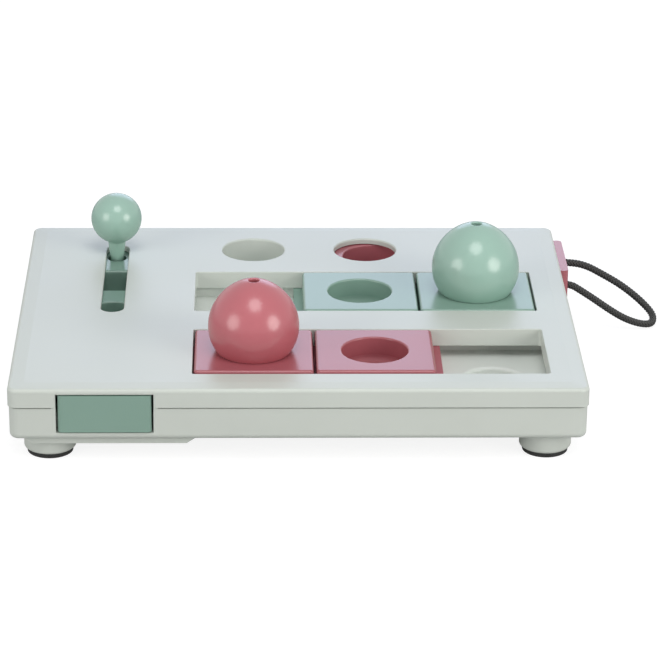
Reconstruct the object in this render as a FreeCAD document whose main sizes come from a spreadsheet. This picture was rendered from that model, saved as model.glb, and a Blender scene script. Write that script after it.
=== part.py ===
"""Cat puzzle feeder: a flat two-shell case with sliding covers, lift-off domes and two drawers.

Frame: millimetres, +Z up, +X to the right and +Y to the back as the cat's owner faces the
front drawer. The origin lies on the floor under the middle of the whole length, with the side
drawer a little open, so the case's own middle is half that opening to the left of it. Sketches
are drawn from the case's middle, and each piece's placement carries it to the origin.
"""
import FreeCAD, Part
import math
import os

import Sketcher

Vector = FreeCAD.Vector
DOC = FreeCAD.newDocument("CatPuzzleFeeder")
SHEET = DOC.addObject("Spreadsheet::Sheet", "Sizes")

# Driving dimensions in millimetres, degrees where the name says so.
SIZES = {
    # Case
    "case_length": 250.8,
    "case_width": 200.0,
    "case_corner": 4.0,
    "plate_level": 36.0,
    "plate_thick": 2.5,
    "cover_wall": 2.5,
    "parting_level": 27.0,
    "parting_groove": 0.6,
    "border_width": 7.0,
    "border_drop": 0.6,
    "rim_round": 1.5,
    "base_level": 11.7,
    "base_floor": 2.2,
    "base_wall": 2.5,
    "base_inset": 0.6,
    "base_draft_deg": 0.4,
    "base_round": 2.5,
    "lip_rise": 1.8,
    "lip_wall": 1.2,
    "lip_gap": 0.2,
    "lip_corner": 1.0,
    # Windows, holes and the lever slot in the cover
    "window_left": -46.2,
    "window_right": 109.7,
    "window_corner": 1.2,
    "front_window_front": -83.6,
    "front_window_back": -32.6,
    "rear_window_front": -10.3,
    "rear_window_back": 38.4,
    "skirt_level": 28.0,
    "skirt_wall": 2.0,
    "first_column": -19.3,
    "column_pitch": 53.1,
    "hole_row": 67.8,
    "hole_radius": 14.65,
    "bowl_bottom": 22.5,
    "bowl_wall": 2.0,
    "bowl_round": 3.0,
    "edge_round": 0.8,
    "slot_centre": -83.6,
    "slot_front": -11.4,
    "slot_back": 73.7,
    "slot_radius": 5.3,
    "slot_rim": 0.5,
    "window_rim": 0.4,
    # Openings for the drawers
    "opening_width": 42.1,
    "opening_bottom": 14.95,
    "front_opening_top": 32.9,
    "side_opening_top": 33.4,
    "shoulder": 1.9,
    "guide_gap": 20.6,
    "guide_wall": 1.8,
    "guide_top": 22.6,
    "drawer_stop": 2.0,
    "runner_top": 15.6,
    "runner_wide": 2.0,
    # Feet, pan and screws
    "foot_x": 108.2,
    "foot_y": 83.0,
    "foot_radius": 11.4,
    "foot_round": 1.4,
    "pad_thick": 2.2,
    "pad_seat": 0.6,
    "pad_radius": 10.0,
    "pan_depth": 2.9,
    "pan_left": -119.8,
    "pan_right": -43.8,
    "pan_front": -96.4,
    "pan_back": 60.0,
    "pan_slope": 4.6,
    "pan_corner": 4.0,
    "pan_wall": 1.8,
    "boss_radius": 3.5,
    "boss_top": 24.0,
    "post_radius": 2.5,
    "thread_bore": 1.25,
    "screw_hole": 1.5,
    "screw_head_radius": 2.2,
    "screw_head_height": 1.8,
    "screw_seat": 19.0,
    "screw_length": 12.0,
    # Well tray under the windows
    "tray_left": -50.2,
    "tray_right": 113.4,
    "tray_front": -85.5,
    "tray_back": 42.35,
    "tray_wall": 1.8,
    "tray_deck": 22.0,
    "tray_deck_thick": 2.0,
    "rail_top": 27.7,
    "middle_rail_front": -23.4,
    "middle_rail_back": -19.75,
    "well_radius": 13.3,
    "well_wall": 1.8,
    "well_bottom": 17.2,
    "well_round": 2.5,
    "well_rim": 1.6,
    "front_row": -57.2,
    "rear_row": 14.05,
    "tray_boss_radius": 3.0,
    "tray_screw_length": 6.5,
    # Sliding covers
    "slider_length": 52.3,
    "slider_width": 48.1,
    "slider_level": 22.3,
    "slider_slab": 5.4,
    "slider_height": 13.9,
    "slider_narrow": 4.15,
    "slider_wide": 9.65,
    "slider_outer": 4.0,
    "slider_inner": 0.4,
    "slider_shell": 2.0,
    "slider_corner": 1.6,
    "slider_round": 1.4,
    "slider_bowl_depth": 11.7,
    "front_left_slider": -19.4,
    "front_right_slider": 34.05,
    "rear_left_slider": 29.6,
    "rear_right_slider": 82.85,
    # Domes
    "dome_radius": 20.1,
    "dome_centre": 11.8,
    "dome_crown_radius": 23.2,
    "dome_crown_from_deg": 25.0,
    "dome_wall": 2.0,
    "dome_vent": 2.3,
    "dome_gap": 0.05,
    "spigot_outer": 13.9,
    "spigot_inner": 12.2,
    "spigot_depth": 4.5,
    # Drawers
    "drawer_half": 20.2,
    "drawer_level": 15.7,
    "face_half": 20.25,
    "face_bottom": -0.2,
    "face_top": 16.8,
    "face_thick": 2.6,
    "face_edge": 2.0,
    "front_drawer_length": 177.0,
    "front_deck": 7.3,
    "front_box_back": 70.0,
    "front_box_top": 16.6,
    "front_box_wall": 2.2,
    "front_box_floor": 1.7,
    "front_box_corner": 8.0,
    "block_front": 147.5,
    "block_back": 176.0,
    "block_half": 7.0,
    "block_top": 17.3,
    "socket_y": 164.4,
    "socket_radius": 4.5,
    "socket_depth": 3.0,
    "pin_radius": 2.5,
    "pin_gap": 0.05,
    "lever_offset": -0.4,
    "bridge_back": 124.6,
    "bridge_round": 0.8,
    "rear_cup_front": 80.0,
    "rear_cup_back": 110.2,
    "rear_cup_radius": 11.0,
    "rear_cup_depth": 9.5,
    "rib_wall": 1.8,
    "side_drawer_open": 4.1,
    "side_drawer_length": 125.0,
    "side_deck": 17.3,
    "cup_radius": 14.4,
    "cup_depth": 14.5,
    "cup_wall": 1.8,
    "near_cup": 38.5,
    "lug_near": 108.6,
    "lug_far": 112.0,
    "lug_reach": 21.9,
    "lug_bottom": 7.3,
    "lug_top": 12.3,
    "cord_hole_offset": 14.4,
    "cord_hole_level": 8.3,
    "cord_hole_radius": 1.95,
    # Lever
    "ball_radius": 11.9,
    "ball_height": 23.3,
    "stem_bottom_radius": 2.8,
    "stem_top_radius": 4.2,
    "pin_length": 8.8,
    "lever_bore": 1.1,
    "lever_bore_depth": 7.0,
    "lever_screw_length": 6.0,
    "lever_screw_head": 3.6,
    # Cord
    "cord_radius": 1.75,
    "knot_radius": 3.1,
    "knot_length": 5.0,
}


class Dim:
    """A length with its value and the spreadsheet expression that gives it."""

    def __init__(self, value, text):
        self.value = value
        self.text = text

    @staticmethod
    def of(other):
        """Turn a plain number into a Dim and leave a Dim as it is."""
        if isinstance(other, Dim):
            return other
        return Dim(float(other), repr(float(other)))

    def __add__(self, other):
        other = Dim.of(other)
        return Dim(self.value + other.value, f"({self.text} + {other.text})")

    def __sub__(self, other):
        other = Dim.of(other)
        return Dim(self.value - other.value, f"({self.text} - {other.text})")

    def __mul__(self, factor):
        factor = Dim.of(factor)
        return Dim(self.value * factor.value, f"({self.text} * {factor.text})")

    def __neg__(self):
        return Dim(-self.value, f"(0 - {self.text})")


def fill_sheet():
    """Write the driving dimensions into the spreadsheet, one row each."""
    for row, (name, value) in enumerate(SIZES.items(), start=1):
        SHEET.set(f"A{row}", name.replace("_", " "))
        SHEET.set(f"B{row}", repr(value))
        SHEET.setAlias(f"B{row}", name)
    DOC.recompute()


def size(name):
    """Return the named cell of the spreadsheet as a Dim."""
    return Dim(SIZES[name], f"Sizes.{name}")


def sine(angle):
    """Return the sine of a Dim in degrees."""
    return Dim(math.sin(math.radians(angle.value)), f"sin({angle.text} * 1 deg)")


ZERO = Dim(0.0, "0")
CASE_X = Dim(-SIZES["side_drawer_open"] / 2, "(0 - Sizes.side_drawer_open / 2)")


def bind(thing, prop, dim):
    """Bind a property of a document object to a Dim."""
    thing.setExpression(prop, Dim.of(dim).text)


def put(thing, place):
    """Place an object by three Dims measured from the floor under the case's middle."""
    along, across, level = place
    bind(thing, "Placement.Base.x", CASE_X + along)
    bind(thing, "Placement.Base.y", across)
    bind(thing, "Placement.Base.z", level)


def new_body(name, place=(ZERO, ZERO, ZERO), turn=0.0):
    """Start a PartDesign body; place is its origin as three Dims, turn its yaw in degrees."""
    body = DOC.addObject("PartDesign::Body", name)
    body.Label = name
    body.Placement = FreeCAD.Placement(Vector(), FreeCAD.Rotation(Vector(0, 0, 1), turn))
    put(body, place)
    return body


def new_sketch(body, name, plane="XY_Plane", level=ZERO, along=ZERO, across=ZERO):
    """Attach a sketch to an origin plane, moved by level along its normal."""
    sketch = body.newObject("Sketcher::SketchObject", name)
    support = [item for item in body.Origin.OriginFeatures if item.Role == plane][0]
    sketch.AttachmentSupport = [(support, "")]
    sketch.MapMode = "FlatFace"
    bind(sketch, "AttachmentOffset.Base.x", along)
    bind(sketch, "AttachmentOffset.Base.y", across)
    bind(sketch, "AttachmentOffset.Base.z", level)
    return sketch


def dimension(sketch, kind, dim, *places):
    """Add a driving dimension to a sketch and bind it to a Dim."""
    dim = Dim.of(dim)
    index = sketch.addConstraint(Sketcher.Constraint(kind, *places, dim.value))
    bind(sketch, f"Constraints[{index}]", dim)


def fix_point(sketch, geometry, end, along=None, across=None):
    """Dimension a sketch point from the sketch's origin."""
    if along is not None:
        dimension(sketch, "DistanceX", along, -1, 1, geometry, end)
    if across is not None:
        dimension(sketch, "DistanceY", across, -1, 1, geometry, end)


def add_circle(sketch, along, across, radius):
    """Draw a dimensioned circle."""
    along, across, radius = Dim.of(along), Dim.of(across), Dim.of(radius)
    centre = Vector(along.value, across.value, 0)
    index = sketch.addGeometry(Part.Circle(centre, Vector(0, 0, 1), radius.value), False)
    dimension(sketch, "Radius", radius, index)
    fix_point(sketch, index, 3, along, across)


def add_rectangle(sketch, left, right, low, high):
    """Draw a dimensioned rectangle with sharp corners."""
    left, right, low, high = (Dim.of(item) for item in (left, right, low, high))
    corners = [(left, low), (right, low), (right, high), (left, high)]
    points = [Vector(along.value, across.value, 0) for along, across in corners]
    lines = []
    for index, point in enumerate(points):
        lines.append(sketch.addGeometry(Part.LineSegment(point, points[(index + 1) % 4]), False))
    for index, line in enumerate(lines):
        sketch.addConstraint(Sketcher.Constraint("Coincident", line, 2, lines[(index + 1) % 4], 1))
        direction = "Vertical" if index % 2 else "Horizontal"
        sketch.addConstraint(Sketcher.Constraint(direction, line))
    fix_point(sketch, lines[0], 1, left, low)
    fix_point(sketch, lines[2], 1, right, high)


def add_round_rectangle(sketch, left, right, low, high, radius):
    """Draw a dimensioned rectangle with four equal round corners."""
    left, right, low, high, radius = (Dim.of(item) for item in (left, right, low, high, radius))
    x0, x1, y0, y1, r = left.value, right.value, low.value, high.value, radius.value
    ends = [
        (Vector(x0 + r, y0, 0), Vector(x1 - r, y0, 0)),
        (Vector(x1, y0 + r, 0), Vector(x1, y1 - r, 0)),
        (Vector(x1 - r, y1, 0), Vector(x0 + r, y1, 0)),
        (Vector(x0, y1 - r, 0), Vector(x0, y0 + r, 0)),
    ]
    centres = [(x1 - r, y0 + r), (x1 - r, y1 - r), (x0 + r, y1 - r), (x0 + r, y0 + r)]
    lines = [sketch.addGeometry(Part.LineSegment(*pair), False) for pair in ends]
    arcs = []
    for index, (along, across) in enumerate(centres):
        circle = Part.Circle(Vector(along, across, 0), Vector(0, 0, 1), r)
        start = (index - 1) * math.pi / 2
        arcs.append(sketch.addGeometry(Part.ArcOfCircle(circle, start, start + math.pi / 2), False))
    for index in range(4):
        sketch.addConstraint(Sketcher.Constraint("Tangent", lines[index], 2, arcs[index], 1))
        sketch.addConstraint(Sketcher.Constraint("Tangent", arcs[index], 2, lines[(index + 1) % 4], 1))
        sketch.addConstraint(Sketcher.Constraint("Vertical" if index % 2 else "Horizontal", lines[index]))
    for arc in arcs[1:]:
        sketch.addConstraint(Sketcher.Constraint("Equal", arcs[0], arc))
    dimension(sketch, "Radius", radius, arcs[0])
    fix_point(sketch, lines[0], 1, None, low)
    fix_point(sketch, lines[1], 1, right, None)
    fix_point(sketch, lines[2], 1, None, high)
    fix_point(sketch, lines[3], 1, left, None)


def add_slot(sketch, centre, low, high, radius):
    """Draw a dimensioned slot along the sketch's second axis, round at both ends."""
    centre, low, high, radius = (Dim.of(item) for item in (centre, low, high, radius))
    x, y0, y1, r = centre.value, low.value + radius.value, high.value - radius.value, radius.value
    right = sketch.addGeometry(Part.LineSegment(Vector(x + r, y0, 0), Vector(x + r, y1, 0)), False)
    circle = Part.Circle(Vector(x, y1, 0), Vector(0, 0, 1), r)
    far = sketch.addGeometry(Part.ArcOfCircle(circle, 0, math.pi), False)
    left = sketch.addGeometry(Part.LineSegment(Vector(x - r, y1, 0), Vector(x - r, y0, 0)), False)
    circle = Part.Circle(Vector(x, y0, 0), Vector(0, 0, 1), r)
    near = sketch.addGeometry(Part.ArcOfCircle(circle, math.pi, 2 * math.pi), False)
    for first, second in ((right, far), (far, left), (left, near), (near, right)):
        sketch.addConstraint(Sketcher.Constraint("Tangent", first, 2, second, 1))
    sketch.addConstraint(Sketcher.Constraint("Vertical", right))
    dimension(sketch, "Radius", radius, far)
    fix_point(sketch, far, 3, centre, high - radius)
    fix_point(sketch, near, 3, None, low + radius)


def solid_of(body):
    """Recompute and return the volume of a body's tip."""
    DOC.recompute()
    return body.Tip.Shape.Volume if body.Tip else 0.0


def grow(body, name, sketch, length, reverse=False, taper=None):
    """Pad a sketch by a length and check that the body grew."""
    before = solid_of(body)
    pad = body.newObject("PartDesign::Pad", name)
    pad.Profile = sketch
    bind(pad, "Length", length)
    pad.Reversed = reverse
    if taper is not None:
        bind(pad, "TaperAngle", taper)
    if solid_of(body) <= before:
        raise RuntimeError(f"{body.Label}: {name} added nothing")
    return pad


def cut(body, name, sketch, length, upward=False):
    """Pocket a sketch by a length, downward unless told otherwise, and check that it cut."""
    before = solid_of(body)
    pocket = body.newObject("PartDesign::Pocket", name)
    pocket.Profile = sketch
    bind(pocket, "Length", length)
    pocket.Reversed = upward
    if not 0 < solid_of(body) < before:
        raise RuntimeError(f"{body.Label}: {name} cut nothing or all")
    return pocket


def spin(body, name, sketch):
    """Revolve a sketch about its second axis by a full turn."""
    revolution = body.newObject("PartDesign::Revolution", name)
    revolution.Profile = sketch
    revolution.ReferenceAxis = (sketch, ["V_Axis"])
    revolution.Angle = 360
    solid_of(body)
    return revolution


def edges_of(body, test):
    """Name the edges of a body's tip that pass a test."""
    DOC.recompute()
    return [f"Edge{index}" for index, edge in enumerate(body.Tip.Shape.Edges, 1) if test(edge)]


def soften(body, name, test, radius):
    """Round the edges that pass a test."""
    names = edges_of(body, test)
    if not names:
        raise RuntimeError(f"{body.Label}: {name} found no edge")
    before = body.Tip
    fillet = body.newObject("PartDesign::Fillet", name)
    fillet.Base = (before, names)
    bind(fillet, "Radius", radius)
    DOC.recompute()
    if fillet.Shape.isNull() or not fillet.Shape.isValid():
        raise RuntimeError(f"{body.Label}: {name} failed on {len(names)} edges")
    return fillet


def blend(body, name, low, high):
    """Loft straight between two outlines of the same make and check that the body grew."""
    before = solid_of(body)
    loft = body.newObject("PartDesign::AdditiveLoft", name)
    loft.Profile = low
    loft.Sections = [high]
    loft.Ruled = True
    if solid_of(body) <= before:
        raise RuntimeError(f"{body.Label}: {name} added nothing")
    return loft


def at_level(edge, level, slack=0.01):
    """Say whether an edge lies flat at a height."""
    box = edge.BoundBox
    return abs(box.ZMin - level) < slack and abs(box.ZMax - level) < slack


def is_circle(edge, radius):
    """Say whether an edge is an arc or circle of a radius."""
    if edge.Degenerated:
        return False
    return isinstance(edge.Curve, Part.Circle) and abs(edge.Curve.Radius - radius) < 0.01


def round_edges(level, radius):
    """Make a test for circular edges of a radius at a height."""
    return lambda edge: at_level(edge, level) and is_circle(edge, radius)


def frame_test(normal, plane, along, centre, half, slack=0.02):
    """Make a test for the edges of an opening in an upright wall's outer face."""
    def test(edge):
        box = edge.BoundBox
        low, high = getattr(box, f"{normal}Min"), getattr(box, f"{normal}Max")
        if abs(low - plane) > slack or abs(high - plane) > slack:
            return False
        first, last = getattr(box, f"{along}Min"), getattr(box, f"{along}Max")
        return first > centre - half - slack and last < centre + half + slack
    return test


def inside_of(left, right, low, high):
    """Make a test for edges that lie inside a plan rectangle."""
    def test(edge):
        box = edge.BoundBox
        return box.XMin > left and box.XMax < right and box.YMin > low and box.YMax < high
    return test


def upright_at(corners, slack=0.02):
    """Make a test for upright edges at the given plan positions."""
    def test(edge):
        box = edge.BoundBox
        if box.XLength > slack or box.YLength > slack:
            return False
        return any(abs(box.XMin - x) < slack and abs(box.YMin - y) < slack for x, y in corners)
    return test


def columns():
    """Return the X of the three treat columns."""
    return [size("first_column") + size("column_pitch") * step for step in range(3)]


def case_screw_spots():
    """Return the plan positions of the case screws, clear of drawers and tray."""
    return [(-115.0, -50.0), (-115.0, 66.0), (-48.0, 84.0), (-20.0, -92.3), (94.0, -92.3), (60.0, 93.5)]


def tray_screw_spots():
    """Return the plan positions of the screws that hold the well tray down."""
    return [(-40.5, -79.0), (91.0, -80.0), (-40.5, 33.0), (107.0, 33.0)]


def foot_spots():
    """Return the names and signs of the four feet."""
    return {
        "front_left": (-1, -1),
        "front_right": (1, -1),
        "rear_left": (-1, 1),
        "rear_right": (1, 1),
    }


def make_top_cover():
    """Model the upper shell with its windows, skirts, holes, lever slot and screw posts."""
    body = new_body("top_cover")
    half_length, half_width = size("case_length") * 0.5, size("case_width") * 0.5
    top, parting = size("plate_level"), size("parting_level")
    underside = top - size("plate_thick")

    outline = new_sketch(body, "CoverOutline", level=parting)
    add_round_rectangle(outline, -half_length, half_length, -half_width, half_width, size("case_corner"))
    grow(body, "CoverBlock", outline, top - size("border_drop") - parting)
    border, field = size("border_width"), new_sketch(body, "PlateField", level=top)
    edge_line = new_sketch(body, "PlateEdge", level=top - size("border_drop"))
    add_round_rectangle(edge_line, -half_length, half_length, -half_width, half_width, size("case_corner"))
    add_round_rectangle(field, -half_length + border, half_length - border, -half_width + border,
                        half_width - border, 2)
    blend(body, "PlateBorder", edge_line, field)
    lower_edge = top.value - SIZES["border_drop"]
    soften(body, "CoverRim", lambda edge: at_level(edge, lower_edge), size("rim_round"))

    wall = size("cover_wall")
    inside = new_sketch(body, "CoverInside", level=parting)
    add_round_rectangle(inside, -half_length + wall, half_length - wall, -half_width + wall,
                        half_width - wall, size("case_corner") - wall)
    cut(body, "CoverHollow", inside, underside - parting, upward=True)

    skirt, reach = size("skirt_level"), size("skirt_wall")
    left, right = size("window_left"), size("window_right")
    rows = [("Front", size("front_window_front"), size("front_window_back")),
            ("Rear", size("rear_window_front"), size("rear_window_back"))]
    for row, low, high in rows:
        frame = new_sketch(body, f"{row}SkirtOutline", level=skirt)
        add_rectangle(frame, left - reach, right + reach, low - reach, high + reach)
        grow(body, f"{row}Skirt", frame, underside - skirt + 0.1)
        window = new_sketch(body, f"{row}WindowOutline", level=top)
        add_round_rectangle(window, left, right, low, high, size("window_corner"))
        cut(body, f"{row}Window", window, top - skirt + 1)

    bowl = new_sketch(body, "BowlOutline", level=size("bowl_bottom") - size("bowl_wall"))
    bowl_outer = size("hole_radius") + size("bowl_wall")
    add_circle(bowl, size("first_column"), size("hole_row"), bowl_outer)
    grow(body, "Bowl", bowl, underside - size("bowl_bottom") + size("bowl_wall") + 0.1)
    hollow = new_sketch(body, "BowlHollowOutline", level=top)
    add_circle(hollow, size("first_column"), size("hole_row"), size("hole_radius"))
    cut(body, "BowlHollow", hollow, top - size("bowl_bottom"))
    soften(body, "BowlInner", round_edges(SIZES["bowl_bottom"], SIZES["hole_radius"]), size("bowl_round"))
    bowl_under = SIZES["bowl_bottom"] - SIZES["bowl_wall"]
    soften(body, "BowlOuter", round_edges(bowl_under, bowl_outer.value), size("bowl_round"))

    holes = new_sketch(body, "HoleOutlines", level=top)
    for column in columns()[1:]:
        add_circle(holes, column, size("hole_row"), size("hole_radius"))
    cut(body, "Holes", holes, size("plate_thick") + 1)
    soften(body, "HoleRims", round_edges(SIZES["plate_level"], SIZES["hole_radius"]), size("edge_round"))

    slot = new_sketch(body, "LeverSlotOutline", level=top)
    add_slot(slot, size("slot_centre"), size("slot_front"), size("slot_back"), size("slot_radius"))
    cut(body, "LeverSlot", slot, size("plate_thick") + 1)
    near_slot = inside_of(SIZES["slot_centre"] - 8, SIZES["slot_centre"] + 8, -20, 80)
    soften(body, "SlotRim", lambda edge: at_level(edge, SIZES["plate_level"]) and near_slot(edge),
           size("slot_rim"))
    in_windows = inside_of(SIZES["window_left"] - 1, SIZES["window_right"] + 1,
                           SIZES["front_window_front"] - 1, SIZES["rear_window_back"] + 1)
    soften(body, "WindowRims", lambda edge: at_level(edge, SIZES["plate_level"]) and in_windows(edge),
           size("window_rim"))

    posts = new_sketch(body, "PostOutlines", level=size("boss_top") + 0.2)
    bores = new_sketch(body, "PostBoreOutlines", level=size("boss_top") + 0.2)
    for along, across in case_screw_spots():
        add_circle(posts, along, across, size("post_radius"))
        add_circle(bores, along, across, size("thread_bore"))
    grow(body, "Posts", posts, underside - size("boss_top") - 0.1)
    cut(body, "PostBores", bores, 8, upward=True)

    half = size("opening_width") * 0.5
    centre, row = size("slot_centre"), size("hole_row")
    front = new_sketch(body, "FrontOpeningOutline", level=parting - 1)
    add_rectangle(front, centre - half, centre + half, -half_width - 1, -half_width + wall + 0.5)
    cut(body, "FrontOpening", front, size("front_opening_top") - parting + 1, upward=True)
    side = new_sketch(body, "SideOpeningOutline", level=parting - 1)
    add_rectangle(side, half_length - wall - 0.5, half_length + 1, row - half, row + half)
    cut(body, "SideOpening", side, size("side_opening_top") - parting + 1, upward=True)
    front_plane, side_plane = -SIZES["case_width"] / 2, SIZES["case_length"] / 2
    soften(body, "FrontOpeningRim", frame_test("Y", front_plane, "X", centre.value, half.value), 0.6)
    soften(body, "SideOpeningRim", frame_test("X", side_plane, "Y", row.value, half.value), 0.6)
    return body


def make_base_tray():
    """Model the lower shell with its feet, pan, drawer guides, lip and screw bosses."""
    body = new_body("base_tray")
    half_length = size("case_length") * 0.5 - size("base_inset")
    half_width = size("case_width") * 0.5 - size("base_inset")
    bottom, rim = size("base_level"), size("parting_level") - size("parting_groove")
    inner_floor = bottom + size("base_floor")
    wall = size("base_wall")

    outline = new_sketch(body, "BaseOutline", level=bottom)
    add_round_rectangle(outline, -half_length, half_length, -half_width, half_width, size("case_corner"))
    grow(body, "BaseBlock", outline, rim - bottom, taper=size("base_draft_deg"))
    soften(body, "BaseRound", lambda edge: at_level(edge, SIZES["base_level"]), size("base_round"))

    inside = new_sketch(body, "BaseInside", level=rim)
    add_round_rectangle(inside, -half_length + wall, half_length - wall, -half_width + wall,
                        half_width - wall, size("case_corner") - 1)
    cut(body, "BaseHollow", inside, rim - inner_floor)

    lip_out = size("cover_wall") + size("lip_gap")
    case_x, case_y = size("case_length") * 0.5, size("case_width") * 0.5
    lip_in = lip_out + size("lip_wall")
    lip = new_sketch(body, "LipOutline", level=rim - 4)
    add_round_rectangle(lip, -case_x + lip_out, case_x - lip_out, -case_y + lip_out, case_y - lip_out,
                        size("case_corner") - lip_out)
    add_round_rectangle(lip, -case_x + lip_in, case_x - lip_in, -case_y + lip_in, case_y - lip_in,
                        size("lip_corner"))
    grow(body, "Lip", lip, size("lip_rise") + 4)

    half, shoulder = size("opening_width") * 0.5, size("shoulder")
    centre, row = size("slot_centre"), size("hole_row")
    shoulders = new_sketch(body, "ShoulderOutlines", level=rim - 1)
    reach = half + shoulder
    add_rectangle(shoulders, centre - reach, centre + reach, -case_y + 0.6, -case_y + lip_out + 0.4)
    add_rectangle(shoulders, case_x - lip_out - 0.4, case_x - 0.6, row - reach, row + reach)
    grow(body, "Shoulders", shoulders, size("parting_groove") + 1)

    guides = new_sketch(body, "SideGuideOutlines", level=inner_floor - 0.2)
    gap, thick = size("guide_gap"), size("guide_wall")
    add_rectangle(guides, -2, case_x - 2, row - gap - thick, row - gap)
    add_rectangle(guides, -2, case_x - 2, row + gap, row + gap + thick)
    add_rectangle(guides, centre - gap - thick, centre - gap, -case_y + 2, 80)
    add_rectangle(guides, centre + gap, centre + gap + thick, -case_y + 2, 80)
    stop, stop_half = size("drawer_stop"), 10
    side_end = case_x - size("side_drawer_length") - 0.2
    front_end = -case_y + size("front_drawer_length") + 0.2
    add_rectangle(guides, side_end - stop, side_end, row - stop_half, row + stop_half)
    add_rectangle(guides, centre - stop_half, centre + stop_half, front_end, front_end + stop)
    grow(body, "DrawerGuides", guides, size("guide_top") - inner_floor + 0.2)

    runners = new_sketch(body, "RunnerOutlines", level=inner_floor - 0.2)
    wide = size("runner_wide")
    for side in (-16, 14):
        add_rectangle(runners, 0, case_x - 4, row + side, row + side + wide)
        add_rectangle(runners, centre + side, centre + side + wide, -case_y + 4, 78)
    grow(body, "Runners", runners, size("runner_top") - inner_floor + 0.2)

    openings = new_sketch(body, "DrawerNotches", level=size("opening_bottom"))
    add_rectangle(openings, centre - half, centre + half, -case_y - 1, -case_y + lip_in + 1.5)
    add_rectangle(openings, case_x - lip_in - 1.5, case_x + 1, row - half, row + half)
    cut(body, "DrawerOpenings", openings, size("parting_level") - size("opening_bottom") + 3, upward=True)

    pan_left, pan_right, slope = size("pan_left"), size("pan_right"), size("pan_slope")
    pan_foot = new_sketch(body, "PanFoot", level=bottom - size("pan_depth"))
    add_rectangle(pan_foot, pan_left + slope, pan_right - slope, size("pan_front"), size("pan_back") - slope)
    pan_head = new_sketch(body, "PanHead", level=bottom + 0.2)
    add_rectangle(pan_head, pan_left, pan_right, size("pan_front"), size("pan_back"))
    blend(body, "Pan", pan_foot, pan_head)
    pan_level = SIZES["base_level"] - SIZES["pan_depth"]
    soften(body, "PanCorners", lambda edge: abs(edge.BoundBox.ZMin - pan_level) < 0.01
           and edge.BoundBox.ZLength > 2 and edge.BoundBox.YMin > 0, size("pan_corner"))

    feet = new_sketch(body, "FeetOutlines", level=size("pad_thick"))
    seats = new_sketch(body, "PadSeatOutlines", level=size("pad_thick"))
    for x_sign, y_sign in foot_spots().values():
        spot = (size("foot_x") * x_sign, size("foot_y") * y_sign)
        add_circle(feet, *spot, size("foot_radius"))
        add_circle(seats, *spot, size("pad_radius") - 1)
    grow(body, "Feet", feet, bottom - size("pad_thick") + 0.4)
    soften(body, "FeetRound", round_edges(SIZES["pad_thick"], SIZES["foot_radius"]), size("foot_round"))
    cut(body, "PadSeats", seats, size("pad_seat"), upward=True)

    inset = slope + size("pan_wall")
    pan_front, pan_back = size("pan_front") + inset, size("pan_back") - inset
    pan_hollow = new_sketch(body, "PanHollowOutline", level=bottom - size("pan_depth") + size("pan_wall"))
    add_rectangle(pan_hollow, centre - gap + 1, centre + gap - 1, pan_front, pan_back)
    add_rectangle(pan_hollow, centre + gap + thick + 1, pan_right - inset, pan_front, pan_back)
    add_rectangle(pan_hollow, pan_left + inset, centre - gap - thick - 1, -44, pan_back)
    cut(body, "PanHollow", pan_hollow, size("pan_depth") + 1, upward=True)

    bosses = new_sketch(body, "BossOutlines", level=inner_floor - 0.5)
    shafts = new_sketch(body, "ScrewHoleOutlines", level=bottom - 5)
    heads = new_sketch(body, "ScrewHeadOutlines", level=bottom - 5)
    for along, across in case_screw_spots():
        add_circle(bosses, along, across, size("boss_radius"))
        add_circle(shafts, along, across, size("screw_hole"))
        add_circle(heads, along, across, size("screw_head_radius") + 0.3)
    grow(body, "Bosses", bosses, size("boss_top") - inner_floor + 0.5)
    cut(body, "ScrewHoles", shafts, size("boss_top") - bottom + 6, upward=True)
    cut(body, "ScrewHeadHoles", heads, size("screw_seat") - bottom + 5, upward=True)

    tray_shafts = new_sketch(body, "TrayScrewOutlines", level=bottom - 1)
    for along, across in tray_screw_spots():
        add_circle(tray_shafts, along, across, size("screw_hole"))
    cut(body, "TrayScrewHoles", tray_shafts, size("base_floor") + 2, upward=True)
    return body


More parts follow.
